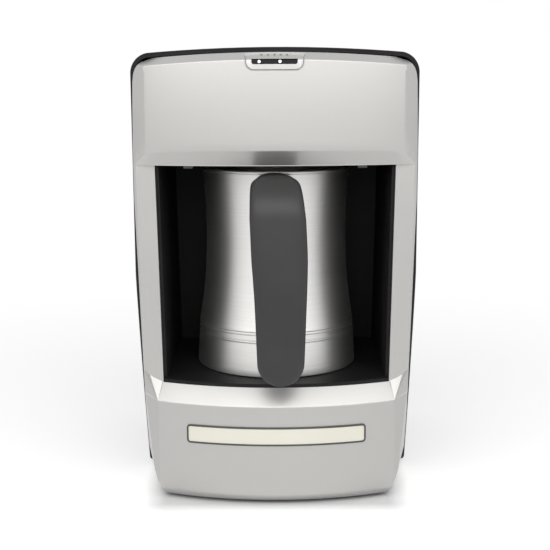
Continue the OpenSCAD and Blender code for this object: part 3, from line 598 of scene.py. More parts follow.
class Recipe:
    """A material under construction: its nodes around one Principled shader."""

    def __init__(self, name: str, colour: Triple, roughness: float,
                 metallic: float = 0.0) -> None:
        """Starts a material.

        Args:
            name: name of the material.
            colour: base colour, linear.
            roughness: roughness of its surface.
            metallic: how metallic it is.
        """
        self.material = bpy.data.materials.new(name)
        self.material.use_nodes = True
        self.tree = self.material.node_tree
        self.shader = self.tree.nodes["Principled BSDF"]
        self.set(self.shader, "Base Color", (*colour, 1))
        self.set(self.shader, "Roughness", roughness)
        self.set(self.shader, "Metallic", metallic)
        self.place = self.tree.nodes.new("ShaderNodeTexCoord").outputs["Object"]

    @staticmethod
    def set(node: bpy.types.Node, socket: str, value: object) -> None:
        """Sets one input of a node."""
        node.inputs[socket].default_value = value

    def node(self, kind: str, **inputs: object) -> bpy.types.Node:
        """Adds a node.

        Args:
            kind: Blender's name of the node.
            inputs: values or sockets for its inputs, with _ for a blank.

        Returns:
            The node.
        """
        made = self.tree.nodes.new(kind)
        for key, value in inputs.items():
            socket = made.inputs[key.replace("_", " ")]
            if isinstance(value, bpy.types.NodeSocket):
                self.tree.links.new(value, socket)
            else:
                socket.default_value = value
        return made

    def vector(self, operation: str, first: bpy.types.NodeSocket,
               second: Triple = ORIGIN) -> bpy.types.NodeSocket:
        """Calculates with a vector and a fixed one.

        Args:
            operation: what is done with them, such as SUBTRACT or LENGTH.
            first: the vector.
            second: the fixed vector.

        Returns:
            The result.
        """
        made = self.node("ShaderNodeVectorMath", Vector=first)
        made.operation = operation
        made.inputs[1].default_value = second
        return made.outputs["Value" if operation == "LENGTH" else "Vector"]

    def stretched(self, factors: Triple) -> bpy.types.NodeSocket:
        """Object coordinates, stretched by a factor along each axis."""
        mapping = self.node("ShaderNodeMapping", Vector=self.place, Scale=factors)
        return mapping.outputs["Vector"]

    def noise(self, scale: float, detail: float = 3.0,
              factors: Triple = (1, 1, 1)) -> bpy.types.NodeSocket:
        """Adds noise.

        Args:
            scale: number of features to a metre.
            detail: number of its finer layers.
            factors: stretch along each axis.

        Returns:
            The noise, from 0 to 1.
        """
        made = self.node("ShaderNodeTexNoise", Vector=self.stretched(factors), Scale=scale,
                         Detail=detail)
        return made.outputs["Fac"]

    def ramp(self, source: bpy.types.NodeSocket, low: float, high: float,
             out_low: float = 0.0, out_high: float = 1.0) -> bpy.types.NodeSocket:
        """Maps a value from one range to another.

        Args:
            source: the value.
            low: start of its range.
            high: end of its range.
            out_low: what the start becomes.
            out_high: what the end becomes.

        Returns:
            The mapped value.
        """
        made = self.node("ShaderNodeMapRange", Value=source, From_Min=low, From_Max=high,
                         To_Min=out_low, To_Max=out_high)
        return made.outputs["Result"]

    def blend(self, mask: bpy.types.NodeSocket, first: Triple,
              second: Triple) -> bpy.types.NodeSocket:
        """Mixes two colours by a mask.

        Args:
            mask: nought for the first colour, one for the second.
            first: the first colour.
            second: the second colour.

        Returns:
            The mixed colour.
        """
        made = self.tree.nodes.new("ShaderNodeMix")
        made.data_type = "RGBA"
        factor, first_colour, second_colour, result = 0, 6, 7, 2
        self.tree.links.new(mask, made.inputs[factor])
        made.inputs[first_colour].default_value = (*first, 1)
        made.inputs[second_colour].default_value = (*second, 1)
        return made.outputs[result]

    def feed(self, socket: str, source: bpy.types.NodeSocket) -> None:
        """Links a value to the shader."""
        self.tree.links.new(source, self.shader.inputs[socket])

    def bump(self, height: bpy.types.NodeSocket, depth: float) -> None:
        """Raises the surface by a height from 0 to 1 with a relief in millimetres."""
        made = self.node("ShaderNodeBump", Height=height, Distance=depth * MM, Strength=1.0)
        self.feed("Normal", made.outputs["Normal"])

    def vary(self, socket: str, mask: bpy.types.NodeSocket, middle: float, below: float,
             above: float) -> None:
        """Lets a value of the shader change over the surface.

        Args:
            socket: the shader's input.
            mask: noise that carries the change.
            middle: its plain value.
            below: how far it goes down.
            above: how far it goes up.
        """
        self.feed(socket, self.ramp(mask, 0.3, 0.7, middle - below, middle + above))


@dataclass(frozen=True)
class SilverPaint:
    """Silver metallic paint on moulded plastic: fine flakes under a satin coat."""

    name: str = "silver_paint"
    light: Triple = (0.5, 0.495, 0.482)
    deep: Triple = (0.45, 0.445, 0.432)
    metallic: float = 0.7
    roughness: float = 0.37
    flake_scale: float = 9000
    drift_scale: float = 18
    skin_scale: float = 1500
    skin_depth: float = 0.003
    coat: float = 0.2
    coat_roughness: float = 0.3

    def make(self) -> bpy.types.Material:
        """Builds the material.

        Returns:
            The material, with its nodes.
        """
        mix = Recipe(self.name, self.light, self.roughness, self.metallic)
        flakes = mix.noise(self.flake_scale, 1.0)
        drift = mix.noise(self.drift_scale, 2.0)
        mix.feed("Base Color", mix.blend(mix.ramp(flakes, 0.42, 0.62), self.deep, self.light))
        mix.vary("Roughness", drift, self.roughness, 0.02, 0.03)
        Recipe.set(mix.shader, "Coat Weight", self.coat)
        Recipe.set(mix.shader, "Coat Roughness", self.coat_roughness)
        mix.bump(mix.noise(self.skin_scale, 2.0), self.skin_depth)
        return mix.material


@dataclass(frozen=True)
class MouldedPlastic:
    """Moulded plastic with the fine grain of a spark-eroded tool."""

    name: str
    colour: Triple
    worn: Triple
    roughness: float = 0.45
    grain: float = 0.02
    grain_scale: float = 1800
    shine: float = 0.5
    cloud_scale: float = 40

    def make(self) -> bpy.types.Material:
        """Builds the material.

        Returns:
            The material, with its nodes.
        """
        mix = Recipe(self.name, self.colour, self.roughness)
        clouds = mix.noise(self.cloud_scale, 3.0)
        fine = mix.noise(self.grain_scale, 2.0)
        mix.feed("Base Color", mix.blend(mix.ramp(clouds, 0.4, 0.75), self.colour, self.worn))
        mix.vary("Roughness", fine, self.roughness, 0.05, 0.06)
        Recipe.set(mix.shader, "Specular IOR Level", self.shine)
        mix.bump(fine, self.grain)
        return mix.material


@dataclass(frozen=True)
class BrushedSteel:
    """Stainless steel, brushed round its axis."""

    name: str
    light: Triple = (0.68, 0.675, 0.66)
    deep: Triple = (0.61, 0.605, 0.59)
    roughness: float = 0.5
    stroke_scale: float = 25
    stroke_stretch: Triple = (1, 1, 160)
    stroke_depth: float = 0.0012
    smudge_scale: float = 30
    anisotropy: float = 0.45
    anisotropy_turn: float = 0.25

    def make(self) -> bpy.types.Material:
        """Builds the material.

        Returns:
            The material, with its nodes.
        """
        mix = Recipe(self.name, self.light, self.roughness, 1.0)
        strokes = mix.noise(self.stroke_scale, 3.0, self.stroke_stretch)
        smudge = mix.noise(self.smudge_scale, 3.0)
        mix.feed("Base Color", mix.blend(mix.ramp(strokes, 0.3, 0.7), self.deep, self.light))
        rough = mix.ramp(strokes, 0.25, 0.75, self.roughness - 0.03, self.roughness + 0.03)
        extra = mix.ramp(smudge, 0.35, 0.75, -0.01, 0.03)
        mix.feed("Roughness", calculate(mix.tree, "ADD", rough, extra))
        tangent = mix.tree.nodes.new("ShaderNodeTangent")
        tangent.direction_type = "RADIAL"
        tangent.axis = "Z"
        mix.feed("Tangent", tangent.outputs["Tangent"])
        Recipe.set(mix.shader, "Anisotropic", self.anisotropy)
        Recipe.set(mix.shader, "Anisotropic Rotation", self.anisotropy_turn)
        mix.bump(strokes, self.stroke_depth)
        return mix.material


@dataclass(frozen=True)
class PlainMetal:
    """Cast, plated or drawn metal of the small parts."""

    name: str
    colour: Triple
    roughness: float = 0.35
    scale: float = 600
    dulling: float = 0.82
    depth: float = 0.01

    def make(self) -> bpy.types.Material:
        """Builds the material.

        Returns:
            The material, with its nodes.
        """
        mix = Recipe(self.name, self.colour, self.roughness, 1.0)
        fine = mix.noise(self.scale, 3.0)
        dull = tuple(c * self.dulling for c in self.colour)
        mix.feed("Base Color", mix.blend(mix.ramp(fine, 0.35, 0.7), self.colour, dull))
        mix.vary("Roughness", fine, self.roughness, 0.06, 0.1)
        mix.bump(fine, self.depth)
        return mix.material


@dataclass(frozen=True)
class CircuitBoard:
    """Green solder mask over copper tracks."""

    name: str = "board_green"
    mask: Triple = (0.02, 0.15, 0.065)
    track: Triple = (0.05, 0.27, 0.12)
    roughness: float = 0.38
    track_scale: float = 110
    track_width: float = 0.06
    track_height: float = 0.03

    def make(self) -> bpy.types.Material:
        """Builds the material.

        Returns:
            The material, with its nodes.
        """
        mix = Recipe(self.name, self.mask, self.roughness)
        tracks = mix.node("ShaderNodeTexBrick", Vector=mix.place, Scale=self.track_scale,
                          Mortar_Size=self.track_width)
        mix.feed("Base Color", mix.blend(tracks.outputs["Fac"], self.mask, self.track))
        mix.bump(tracks.outputs["Fac"], self.track_height)
        return mix.material


@dataclass(frozen=True)
class ClearCover:
    """Dark or white glossy cover over a light or a slot."""

    name: str
    colour: Triple
    glow: float = 0.0
    shine: float = 0.5
    roughness: float = 0.12
    haze: Pair = (0.08, 0.18)
    haze_scale: float = 900
    haze_depth: float = 0.004

    def make(self) -> bpy.types.Material:
        """Builds the material.

        Returns:
            The material, with its nodes.
        """
        mix = Recipe(self.name, self.colour, self.roughness)
        haze = mix.noise(self.haze_scale, 2.0)
        mix.feed("Roughness", mix.ramp(haze, 0.3, 0.7, *self.haze))
        mix.bump(haze, self.haze_depth)
        Recipe.set(mix.shader, "Specular IOR Level", self.shine)
        Recipe.set(mix.shader, "Emission Color", (*self.colour, 1))
        Recipe.set(mix.shader, "Emission Strength", self.glow)
        return mix.material


SILVER = SilverPaint()
BLACK = MouldedPlastic("black_plastic", (0.012, 0.012, 0.013), (0.02, 0.02, 0.021), 0.5,
                       shine=0.12)
LINER = MouldedPlastic("liner_plastic", (0.007, 0.007, 0.0075), (0.012, 0.012, 0.012), 0.55,
                       0.03, 1400, 0.2)
GREY = MouldedPlastic("grey_plastic", (0.16, 0.16, 0.15), (0.2, 0.2, 0.19), 0.5)
RUBBER = MouldedPlastic("rubber_black", (0.015, 0.015, 0.015), (0.03, 0.03, 0.03), 0.75,
                        0.05, 1100)
CREAM = MouldedPlastic("cream_plate", (0.83, 0.81, 0.70), (0.86, 0.84, 0.74), 0.42, 0.006)
FRAME = MouldedPlastic("dark_frame", (0.06, 0.058, 0.05), (0.09, 0.085, 0.075), 0.4, 0.01)
COMPONENT = MouldedPlastic("component_black", (0.02, 0.02, 0.02), (0.035, 0.035, 0.035), 0.5)
COIL = MouldedPlastic("coil_yellow", (0.6, 0.38, 0.05), (0.7, 0.46, 0.08), 0.55, 0.04, 700)
RELAY = MouldedPlastic("relay_blue", (0.02, 0.1, 0.4), (0.03, 0.13, 0.46), 0.35, 0.01)
SLEEVE = MouldedPlastic("capacitor_sleeve", (0.03, 0.03, 0.1), (0.04, 0.045, 0.13), 0.35, 0.01)
TERMINAL = MouldedPlastic("terminal_white", (0.7, 0.7, 0.66), (0.76, 0.76, 0.72), 0.5, 0.01)
WIRE = MouldedPlastic("wire_red", (0.45, 0.02, 0.015), (0.55, 0.04, 0.03), 0.42, 0.01)
CERAMIC = MouldedPlastic("ceramic_white", (0.75, 0.74, 0.7), (0.8, 0.79, 0.75))
HANDLE = MouldedPlastic("handle_plastic", (0.02, 0.0195, 0.0195), (0.026, 0.025, 0.0248),
                        grain_scale=1500)
STEEL = BrushedSteel("pot_steel")
ZINC = PlainMetal("zinc_steel", (0.66, 0.66, 0.64))
CAST = PlainMetal("cast_aluminium", (0.55, 0.55, 0.54), 0.5, 350)
ELEMENT = PlainMetal("element_steel", (0.28, 0.27, 0.26), 0.45)
BRASS = PlainMetal("brass_contact", (0.78, 0.57, 0.24), 0.28)
BOARD = CircuitBoard()
WINDOW = ClearCover("window_black", (0.003, 0.003, 0.0035), shine=0.15)
LENS = ClearCover("lens_white", (0.9, 0.92, 0.95), 0.7)
LED = ClearCover("led_white", (0.85, 0.86, 0.88))
SENSOR = ClearCover("sensor_red", (0.12, 0.01, 0.01))
GLASS = ClearCover("fuse_glass", (0.5, 0.53, 0.53))

FINISH_NODES = {
    SILVER: ("front_fascia", "start_button"),
    BLACK: ("rear_housing", "base_plate", "pot_base_cover"),
    LINER: ("cavity_liner",),
    GREY: ("liner_clips",),
    RUBBER: ("rubber_feet", "inlet_gland", "pot_seal_ring"),
    CREAM: ("label_plate",),
    FRAME: ("label_bezel",),
    COMPONENT: ("tact_switch", "buzzer", "sensor_housing", "contact_block", "pot_connector"),
    COIL: ("transformer",),
    RELAY: ("relay",),
    SLEEVE: ("capacitor",),
    TERMINAL: ("terminal_block",),
    WIRE: ("wire_loom",),
    CERAMIC: ("pot_thermostat",),
    HANDLE: ("handle",),
    STEEL: ("pot_body", "base_skirt"),
    ZINC: ("base_screws", "fascia_screws", "board_screws", "power_board_screws",
           "pot_base_screws", "handle_bracket", "handle_screw"),
    CAST: ("heat_plate",),
    ELEMENT: ("heating_element",),
    BRASS: ("contact_pins", "pot_contacts"),
    BOARD: ("control_board", "power_board"),
    WINDOW: ("button_window",),
    LENS: ("indicator_lenses",),
    LED: ("board_leds",),
    SENSOR: ("sensor_lens",),
    GLASS: ("fuse",),
}
Finish = SilverPaint | MouldedPlastic | BrushedSteel | PlainMetal | CircuitBoard | ClearCover


class Dresser:
    """Gives pieces their finishes and bodies."""

    def __init__(self) -> None:
        """Starts with no material made."""
        self.made: dict[str, bpy.types.Material] = {}

    def material(self, finish: Finish) -> bpy.types.Material:
        """Gives the material of a finish, made once.

        Args:
            finish: the finish.

        Returns:
            Its material.
        """
        if finish.name not in self.made:
            self.made[finish.name] = finish.make()
        return self.made[finish.name]

    def place(self, obj: bpy.types.Object, finish: Finish, body: Body, *nodes: str) -> None:
        """Dresses a new piece and puts it on its body.

        Args:
            obj: the piece.
            finish: its finish.
            body: the body it rides on.
            nodes: the CAD nodes that it stands for.
        """
        obj.data.materials.clear()
        obj.data.materials.append(self.material(finish))
        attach(obj, body.value)
        if nodes:
            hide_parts(*nodes)
        LOG.info("%s: %d faces, on %s", obj.name, len(obj.data.polygons), body.value)

    def dress_nodes(self) -> None:
        """Gives every CAD node its finish."""
        for finish, names in FINISH_NODES.items():
            for name in names:
                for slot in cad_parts[name].material_slots:
                    slot.material = self.material(finish)
            LOG.info("%s on %s", finish.name, ", ".join(names))


@dataclass
class Form:
    """Sizes that several sub-assemblies share."""

    pot_y: float = -13.0757
    face_y: float = -57.7757
    seam_y: float = -52.7757
    back_y: float = 96.2243
    top_z: float = 246.8
    fascia_top_z: float = 243.8
    under_z: float = 2.5
    body_half: float = 77.2
    arch_drop: float = 3.6
    corner_r: float = 11
    ceiling_z: float = 185
    seam_z: float = 125
    seam_run: float = 44
    seam_bow: float = 1.15
    seam_front: float = -140
    seam_foot: float = -1
    seam_half: float = 120
    seam_top: float = 300
    seam_steps: int = 14
    wall: float = 2.5
    pot_z: float = 67.3

    def arch(self, x: float, top: float) -> float:
        """Height of an arched top at x."""
        return top - self.arch_drop * (x / self.body_half) ** 2

    def seam(self, name: str) -> bpy.types.Object:
        """Fills everything in front of the seam between fascia and housing.

        Args:
            name: name of the solid.

        Returns:
            The solid.
        """
        front, foot = self.seam_front, self.seam_foot
        solid = Bench.cube(name, (-self.seam_half, front, foot),
                           (self.seam_half, self.seam_y, self.seam_top))
        levels = spread(self.seam_z, foot, self.seam_steps)
        Bench.score(solid, levels[:-1])
        Bench.edit(solid, whole=False)
        for z in levels:
            share = (self.seam_z - z) / (self.seam_z - foot)
            Bench.pick(solid, lambda p: p.y > front + 10 and abs(p.z - z) < NEAR)
            Bench.shift((0, self.seam_run * share ** self.seam_bow, 0))
        Bench.done()
        return solid

    def outline_cuts(self, half: float, top: float, radius: float) -> list[Cut]:
        """Planes that give a block its arched top and round top corners.

        Args:
            half: half width at the corners.
            top: height of the middle.
            radius: radius of the corners.

        Returns:
            A point and an outward direction for each plane.
        """
        cuts: list[Cut] = []
        middle_x, arch_steps = half - radius, 6
        for i in range(-arch_steps, arch_steps + 1):
            x = middle_x * i / arch_steps
            slope = 2 * self.arch_drop * x / self.body_half ** 2
            cuts.append(((x, 0, self.arch(x, top)), (slope, 0, 1)))
        middle_z = self.arch(middle_x, top) - radius
        for side in SIDES:
            for angle in range(84, 6, -7):
                across, up = math.cos(math.radians(angle)), math.sin(math.radians(angle))
                point = (side * (middle_x + radius * across), 0, middle_z + radius * up)
                cuts.append((point, (side * across, 0, up)))
        return cuts


FORM = Form()


@dataclass
class Fascia:
    """Silver front moulding: header in a frame of bevels, two pillars, ledge and bowed base."""

    half: float = 76.5
    top_half: float = 75.5
    pillar_lean: float = 1.65
    pillar_turn: float = 7
    base_lean: float = 5
    base_turn: float = 10.8
    foot_lean: float = 14
    foot_lean_z: float = 16
    foot_planes: tuple[Triple, ...] = ((1.2, 11.0, 22), (2.5, 7.5, 31), (4.0, 5.0, 41))
    foot_r: float = 4
    foot_in: float = 2.4
    foot_angles: tuple[float, ...] = (52, 44, 36, 28, 21, 14, 7, 0)
    header_y: float = -74.7757
    header_r: float = 166
    header_back: float = 1.6
    ring_h: float = 6.25
    rings: int = 10
    panel_half: float = 69
    panel_z: float = 191.5
    panel_rise: float = 1.85
    bevel_bow: float = 0.682
    bevel_inset: float = 0.83
    mitre: Pair = (0.64, -0.93)
    mitre_x: float = 70
    mitre_d: float = 2.4
    band_z: float = 0.35
    band_h: float = 0.4
    inner_band_h: float = 0.65
    brow_h: float = 3.7
    brow_d: float = 6.5
    rim_half: float = 74.7
    rim_y: float = -55.6
    side_y: float = -53.8
    base_y: float = -76.7757
    base_r: float = 169
    base_half: float = 65
    ledge_z: float = 56
    lip_z: float = 65
    lip_r: float = 162.5
    gusset_d: float = 5
    gusset_line: tuple[Pair, ...] = ((63.0, 57.0), (63.0, 65.4), (67.3, 67.4), (69.8, 69.0),
                                     (72.0, 71.4), (73.1, 72.6), (72.98, 65), (72.28, 57.0))
    opening_top: float = 64.6
    opening_low: float = 62.4
    table_half: float = 75.8
    edge_r: float = 0.6
    set_back: float = 0.03
    lap: float = 0.15
    overrun: float = 20
    facet_angle: float = 10

    @property
    def base_x(self) -> float:
        """Half width of the base at the height of the lip."""
        lean = math.tan(math.radians(self.pillar_lean))
        return self.half - (FORM.ceiling_z - self.lip_z) * lean

    def back(self, z: float) -> float:
        """How far the header leans back at a height."""
        panel_h = FORM.fascia_top_z - self.brow_h - self.panel_z
        return self.header_back * ((z - self.panel_z) / panel_h) ** 2

    def skin_y(self, x: float, z: float) -> float:
        """Place of the header's face along Y."""
        return self.header_y + self.back(z) + sagitta(self.header_r - self.back(z), x)

    def side_planes(self, inset: float) -> list[Cut]:
        """Leaning planes along the sides of the pillars, of the base and of its rounded foot.

        Args:
            inset: how far they are set in.

        Returns:
            A point and an outward direction for each plane.
        """
        lean_x = (self.lip_z - self.foot_lean_z) * math.tan(math.radians(self.base_lean))
        foot_x = self.base_x - lean_x
        rows = [(self.half, FORM.ceiling_z, self.pillar_lean, self.pillar_turn),
                (self.base_x, self.lip_z, self.base_lean, self.base_turn),
                (foot_x, self.foot_lean_z, self.foot_lean, self.base_turn)]
        if not inset:
            rows += [(foot_x - x, z, lean, self.base_turn) for x, z, lean in self.foot_planes]
        cuts = []
        for x, z, lean, turn in rows:
            lean, turn = math.radians(lean), math.radians(turn)
            for side in SIDES:
                normal = Vector((side * math.cos(lean) * math.cos(turn),
                                 -math.cos(lean) * math.sin(turn), -math.sin(lean)))
                cuts.append(set_in(Vector((side * x, FORM.face_y, z)), normal, inset))
        return cuts

    @staticmethod
    def wall_planes(corners: Sequence[Triple], inset: float, rise: Triple = UP) -> list[Cut]:
        """Planes along a chain of corners in plan, on both sides.

        Args:
            corners: places of the right side's corners, from the front back.
            inset: how far the planes are set in.
            rise: direction in which they rise.

        Returns:
            A point and an outward direction for each plane.
        """
        cuts = []
        for here, there in zip(corners, corners[1:]):
            normal = (Vector(there) - Vector(here)).cross(Vector(rise)).normalized()
            point = Vector(here) - normal * inset
            cuts += [((side * point.x, point.y, point.z), (side * normal.x, normal.y, normal.z))
                     for side in SIDES]
        return cuts

    def brow_planes(self, inset: float) -> list[Cut]:
        """Planes of the slanting face that follows the header's arched top.

        Args:
            inset: how far they are set in.

        Returns:
            A point and an outward direction for each plane.
        """
        cuts, r, steps = [], self.header_r - self.header_back, 10
        for i in range(-steps, steps + 1):
            x = self.panel_half * i / steps
            z = FORM.arch(x, FORM.fascia_top_z) - self.brow_h
            along = Vector((1, x / math.sqrt(r * r - x * x),
                            -2 * FORM.arch_drop * x / FORM.body_half ** 2))
            inwards = Vector((-x / r, math.sqrt(1 - (x / r) ** 2), 0)) * self.brow_d
            normal = along.cross(inwards + Vector((0, 0, self.brow_h))).normalized()
            cuts.append(set_in(Vector((x, self.skin_y(x, z), z)), normal, inset))
        return cuts

    def header_mass(self, name: str, inset: float) -> bpy.types.Object:
        """The header without thickness.

        Args:
            name: name of the solid.
            inset: how far its faces are set in.

        Returns:
            The solid.
        """
        foot, top, half = self.panel_z, FORM.fascia_top_z, self.panel_half
        levels = [foot + self.ring_h * i for i in range(self.rings)]
        solid = Bench.stack(name, self.header_y + self.header_r,
                            [(self.header_r - self.back(z) - inset, z) for z in levels])
        cuts = [((0, FORM.seam_y + (self.overrun if inset else 2), 0), BACKWARDS)]
        reach = (self.rim_half - half, self.rim_y - self.skin_y(half, foot))
        for low, high in zip(levels, levels[1:]):
            here = Vector((half, self.skin_y(half, low), low))
            up = Vector((0, self.skin_y(half, high) - here.y, high - low))
            there = (here.x + reach[0], here.y + reach[1], low)
            cuts += self.wall_planes([here, there], inset, up)
        cuts += self.wall_planes([(self.rim_half, self.rim_y, 0), (self.half, self.side_y, 0)],
                                 inset)
        for side in SIDES:
            cuts.append(((side * (self.half - inset), 0, foot),
                         (side * (top - foot), 0, self.half - self.top_half)))
        cuts += self.brow_planes(inset)
        cuts += FORM.outline_cuts(self.top_half - inset, top - inset, FORM.corner_r - inset)
        Bench.slice(solid, cuts)
        self.bevel(solid, inset)
        if not inset:
            self.round_header(solid)
        return solid

    def bevel(self, solid: bpy.types.Object, inset: float) -> None:
        """Draws the header's foot down and in to the cavity's edge, with mitred corners.

        Args:
            solid: the header's mass.
            inset: how far its faces are set in.
        """
        foot, low, half = self.panel_z, FORM.ceiling_z + self.band_z, self.panel_half
        line_y = FORM.face_y + inset - self.set_back
        end_y = self.skin_y(half, foot) + self.bevel_inset * inset
        still = (line_y - self.bevel_bow * end_y) / (1 - self.bevel_bow)

        def on_foot(p: Vector) -> bool:
            """Whether a corner is on the panel's lower edge."""
            return abs(p.z - foot) < NEAR and abs(p.x) < half - CLOSE and p.y < line_y

        Bench.edit(solid)
        Bench.merge(COARSE_DOUBLES)
        Bench.select(Part.FACES)
        Bench.pick_faces(solid, lambda c, n: n.z < -FACING and abs(c.z - foot) < CLOSE)
        Bench.raise_region((0, 0, low - foot))
        Bench.select(Part.VERTS)
        for side in SIDES:
            Bench.pick(solid, lambda p: p.z < low + NEAR and side * p.x > self.mitre_x
                       and p.y < line_y + self.mitre_d)
            Bench.shift((side * self.mitre[0], self.mitre[1], 0))
        Bench.pick(solid, lambda p: p.z < low + NEAR and abs(p.x) < half + CLOSE
                   and p.y < line_y)
        Bench.grow((self.rim_half / half, self.bevel_bow, 1), (0, still, low))
        places = [v.co / MM for v in bmesh.from_edit_mesh(solid.data).verts]
        for x in sorted({round(p.x, 2) for p in places if on_foot(p)}):
            Bench.pick(solid, lambda p: on_foot(p) and abs(p.x - x) < 2 * NEAR)
            Bench.shift((0, 0, self.panel_rise * (1 - (x / half) ** 2)))
        Bench.select(Part.FACES)
        Bench.pick_faces(solid, lambda c, n: n.z < -FACING and abs(c.z - low) < CLOSE)
        Bench.raise_region((0, 0, -self.inner_band_h if inset else -self.band_h))
        Bench.done()

    def round_header(self, solid: bpy.types.Object) -> None:
        """Rounds the edges round the header's panel.

        Args:
            solid: the header's mass.
        """
        foot, half = self.panel_z, self.panel_half

        def low_edge(p: Vector) -> bool:
            """Whether a corner is on the panel's lower edge."""
            off = abs(p.z - foot - self.panel_rise * (1 - (p.x / half) ** 2))
            return abs(p.x) < half + CLOSE and off < 2 * NEAR and p.y < FORM.face_y

        def side_edge(p: Vector) -> bool:
            """Whether a corner is on one of the panel's sides."""
            on_side = abs(abs(p.x) - half) < CLOSE
            return on_side and p.y < FORM.face_y + 2 and p.z > foot - CLOSE

        def top_edge(p: Vector) -> bool:
            """Whether a corner is on the panel's upper edge.

            Args:
                p: place of the corner.

            Returns:
                Whether it is.
            """
            z = FORM.arch(p.x, FORM.fascia_top_z) - self.brow_h
            return (abs(p.x) < half + CLOSE and abs(p.z - z) < CLOSE
                    and abs(p.y - self.skin_y(p.x, z)) < CLOSE)

        edges = (low_edge, side_edge, top_edge)
        Bench.round_edges(solid, lambda a, b: any(edge(a) and edge(b) for edge in edges),
                          self.edge_r)

    def base_rings(self, inset: float) -> list[Pair]:
        """Lists the rings that make the base's bowed front.

        Args:
            inset: how far its faces are set in.

        Returns:
            Radius and height of each ring.
        """
        low, r = FORM.under_z, self.base_r
        if inset:
            return [(r - inset, low - 5), (r - inset, self.ledge_z - 1),
                    (self.lip_r - inset, self.lip_z - inset)]
        rings = [(r - self.foot_in, low)]
        for angle in self.foot_angles:
            a = math.radians(angle)
            rings.append((r - self.foot_r * (1 - math.cos(a)),
                          low + self.foot_r * (1 - math.sin(a))))
        return rings + [(r, self.ledge_z), (self.lip_r, self.lip_z)]

    def base_mass(self, name: str, inset: float) -> bpy.types.Object:
        """The base up to the ledge without thickness.

        Args:
            name: name of the solid.
            inset: how far its faces are set in.

        Returns:
            The solid.
        """
        solid = Bench.stack(name, self.base_y + self.base_r, self.base_rings(inset))
        back_y = FORM.seam_y + FORM.seam_run
        line = [(self.base_half, self.base_y + sagitta(self.base_r, self.base_half), 0)]
        for share in spread(0, 1, 6):
            flare = 1 - (1 - share) ** 2
            line.append((self.base_x + (self.table_half - self.base_x) * flare,
                         FORM.face_y + (back_y - FORM.face_y) * share, 0))
        cuts = [((0, back_y + (self.overrun if inset else 0), 0), BACKWARDS)]
        Bench.slice(solid, cuts + self.wall_planes(line, inset) + self.side_planes(inset))
        if not inset:
            Bench.edit(solid)
            Bench.merge(COARSE_DOUBLES)
            Bench.done()
            Bench.round_edges(solid, self.on_base_edge, self.edge_r)
        return solid

    def on_base_edge(self, a: Vector, b: Vector) -> bool:
        """Tells the edges that are rounded from the others.

        Args:
            a: one end of an edge.
            b: its other end.

        Returns:
            Whether it is the ledge's front edge or a front corner.
        """
        ledge = abs(a.z - self.ledge_z) + abs(b.z - self.ledge_z) < 2 * NEAR
        corner = abs(abs(a.x) - self.base_half) + abs(abs(b.x) - self.base_half) < CLOSE
        return max(a.y, b.y) < FORM.face_y and (ledge or corner)

    def gusset(self, name: str, side: int) -> bpy.types.Object:
        """The corner where the ledge curls up along a pillar.

        Args:
            name: name of the solid.
            side: -1 for the left one, 1 for the right one.

        Returns:
            The solid.
        """
        tip_y = self.base_y + sagitta(self.base_r, self.base_half)
        outline = [(x, FORM.face_y + self.gusset_d, z) for x, z in self.gusset_line]
        solid = Bench.prism(name, outline, (0, -self.gusset_d, 0))
        Bench.edit(solid, Part.FACES, False)
        Bench.pick_faces(solid, lambda c, n: abs(n.y) > FACING and abs(c.y - FORM.face_y) < NEAR)
        Bench.raise_region((0, tip_y - FORM.face_y, 0))
        Bench.grow((0, 1, 0), (self.base_half, tip_y, self.ledge_z))
        bpy.ops.mesh.select_all(action="SELECT")
        Bench.merge(DOUBLES)
        Bench.face_out()
        Bench.done()
        if side < 0:
            Bench.mirror(solid)
        return solid

    def pillar_mass(self, name: str, side: int, inset: float) -> bpy.types.Object:
        """One pillar beside the cavity, without thickness.

        Args:
            name: name of the solid.
            side: -1 for the left one, 1 for the right one.
            inset: how far its faces are set in.

        Returns:
            The solid.
        """
        low, top, back = self.lip_z - 1, FORM.ceiling_z + self.lap, FORM.seam_y + FORM.seam_run
        if inset:
            low, top, back = self.lip_z - 3, self.panel_z + 2, back + self.overrun
        solid = Bench.cube(name, (0, FORM.face_y + inset, low), (90, back, top))
        rise = FORM.ceiling_z - self.lip_z
        edge = Vector((-rise, 0, self.opening_top - self.opening_low)).normalized()
        rim = Vector((self.half - self.rim_half, self.side_y - FORM.face_y, 0)).cross(
            Vector((self.rim_half - self.base_x, 0, rise))).normalized()
        cuts = [set_in(Vector((self.opening_low, 0, self.lip_z)), edge, inset),
                set_in(Vector((self.rim_half, FORM.face_y, FORM.ceiling_z)), rim, inset),
                ((self.half - self.set_back - inset, 0, 0), (1, 0, 0))]
        Bench.slice(solid, cuts + [cut for cut in self.side_planes(inset) if cut[1][0] > 0])
        if side < 0:
            Bench.mirror(solid)
        return solid

    def mass(self, name: str, inset: float) -> bpy.types.Object:
        """The whole moulding without thickness.

        Args:
            name: name of the solid.
            inset: how far its faces are set in.

        Returns:
            The solid.
        """
        whole = self.base_mass(name, inset)
        parts = [self.header_mass("header", inset)]
        parts += [self.pillar_mass("pillar", side, inset) for side in SIDES]
        if not inset:
            parts += [self.gusset("gusset", side) for side in SIDES]
        for part in parts:
            Bench.join_solid(whole, part, Join.ADD)
        Bench.tidy(whole, merge=FINE_DOUBLES)
        return whole

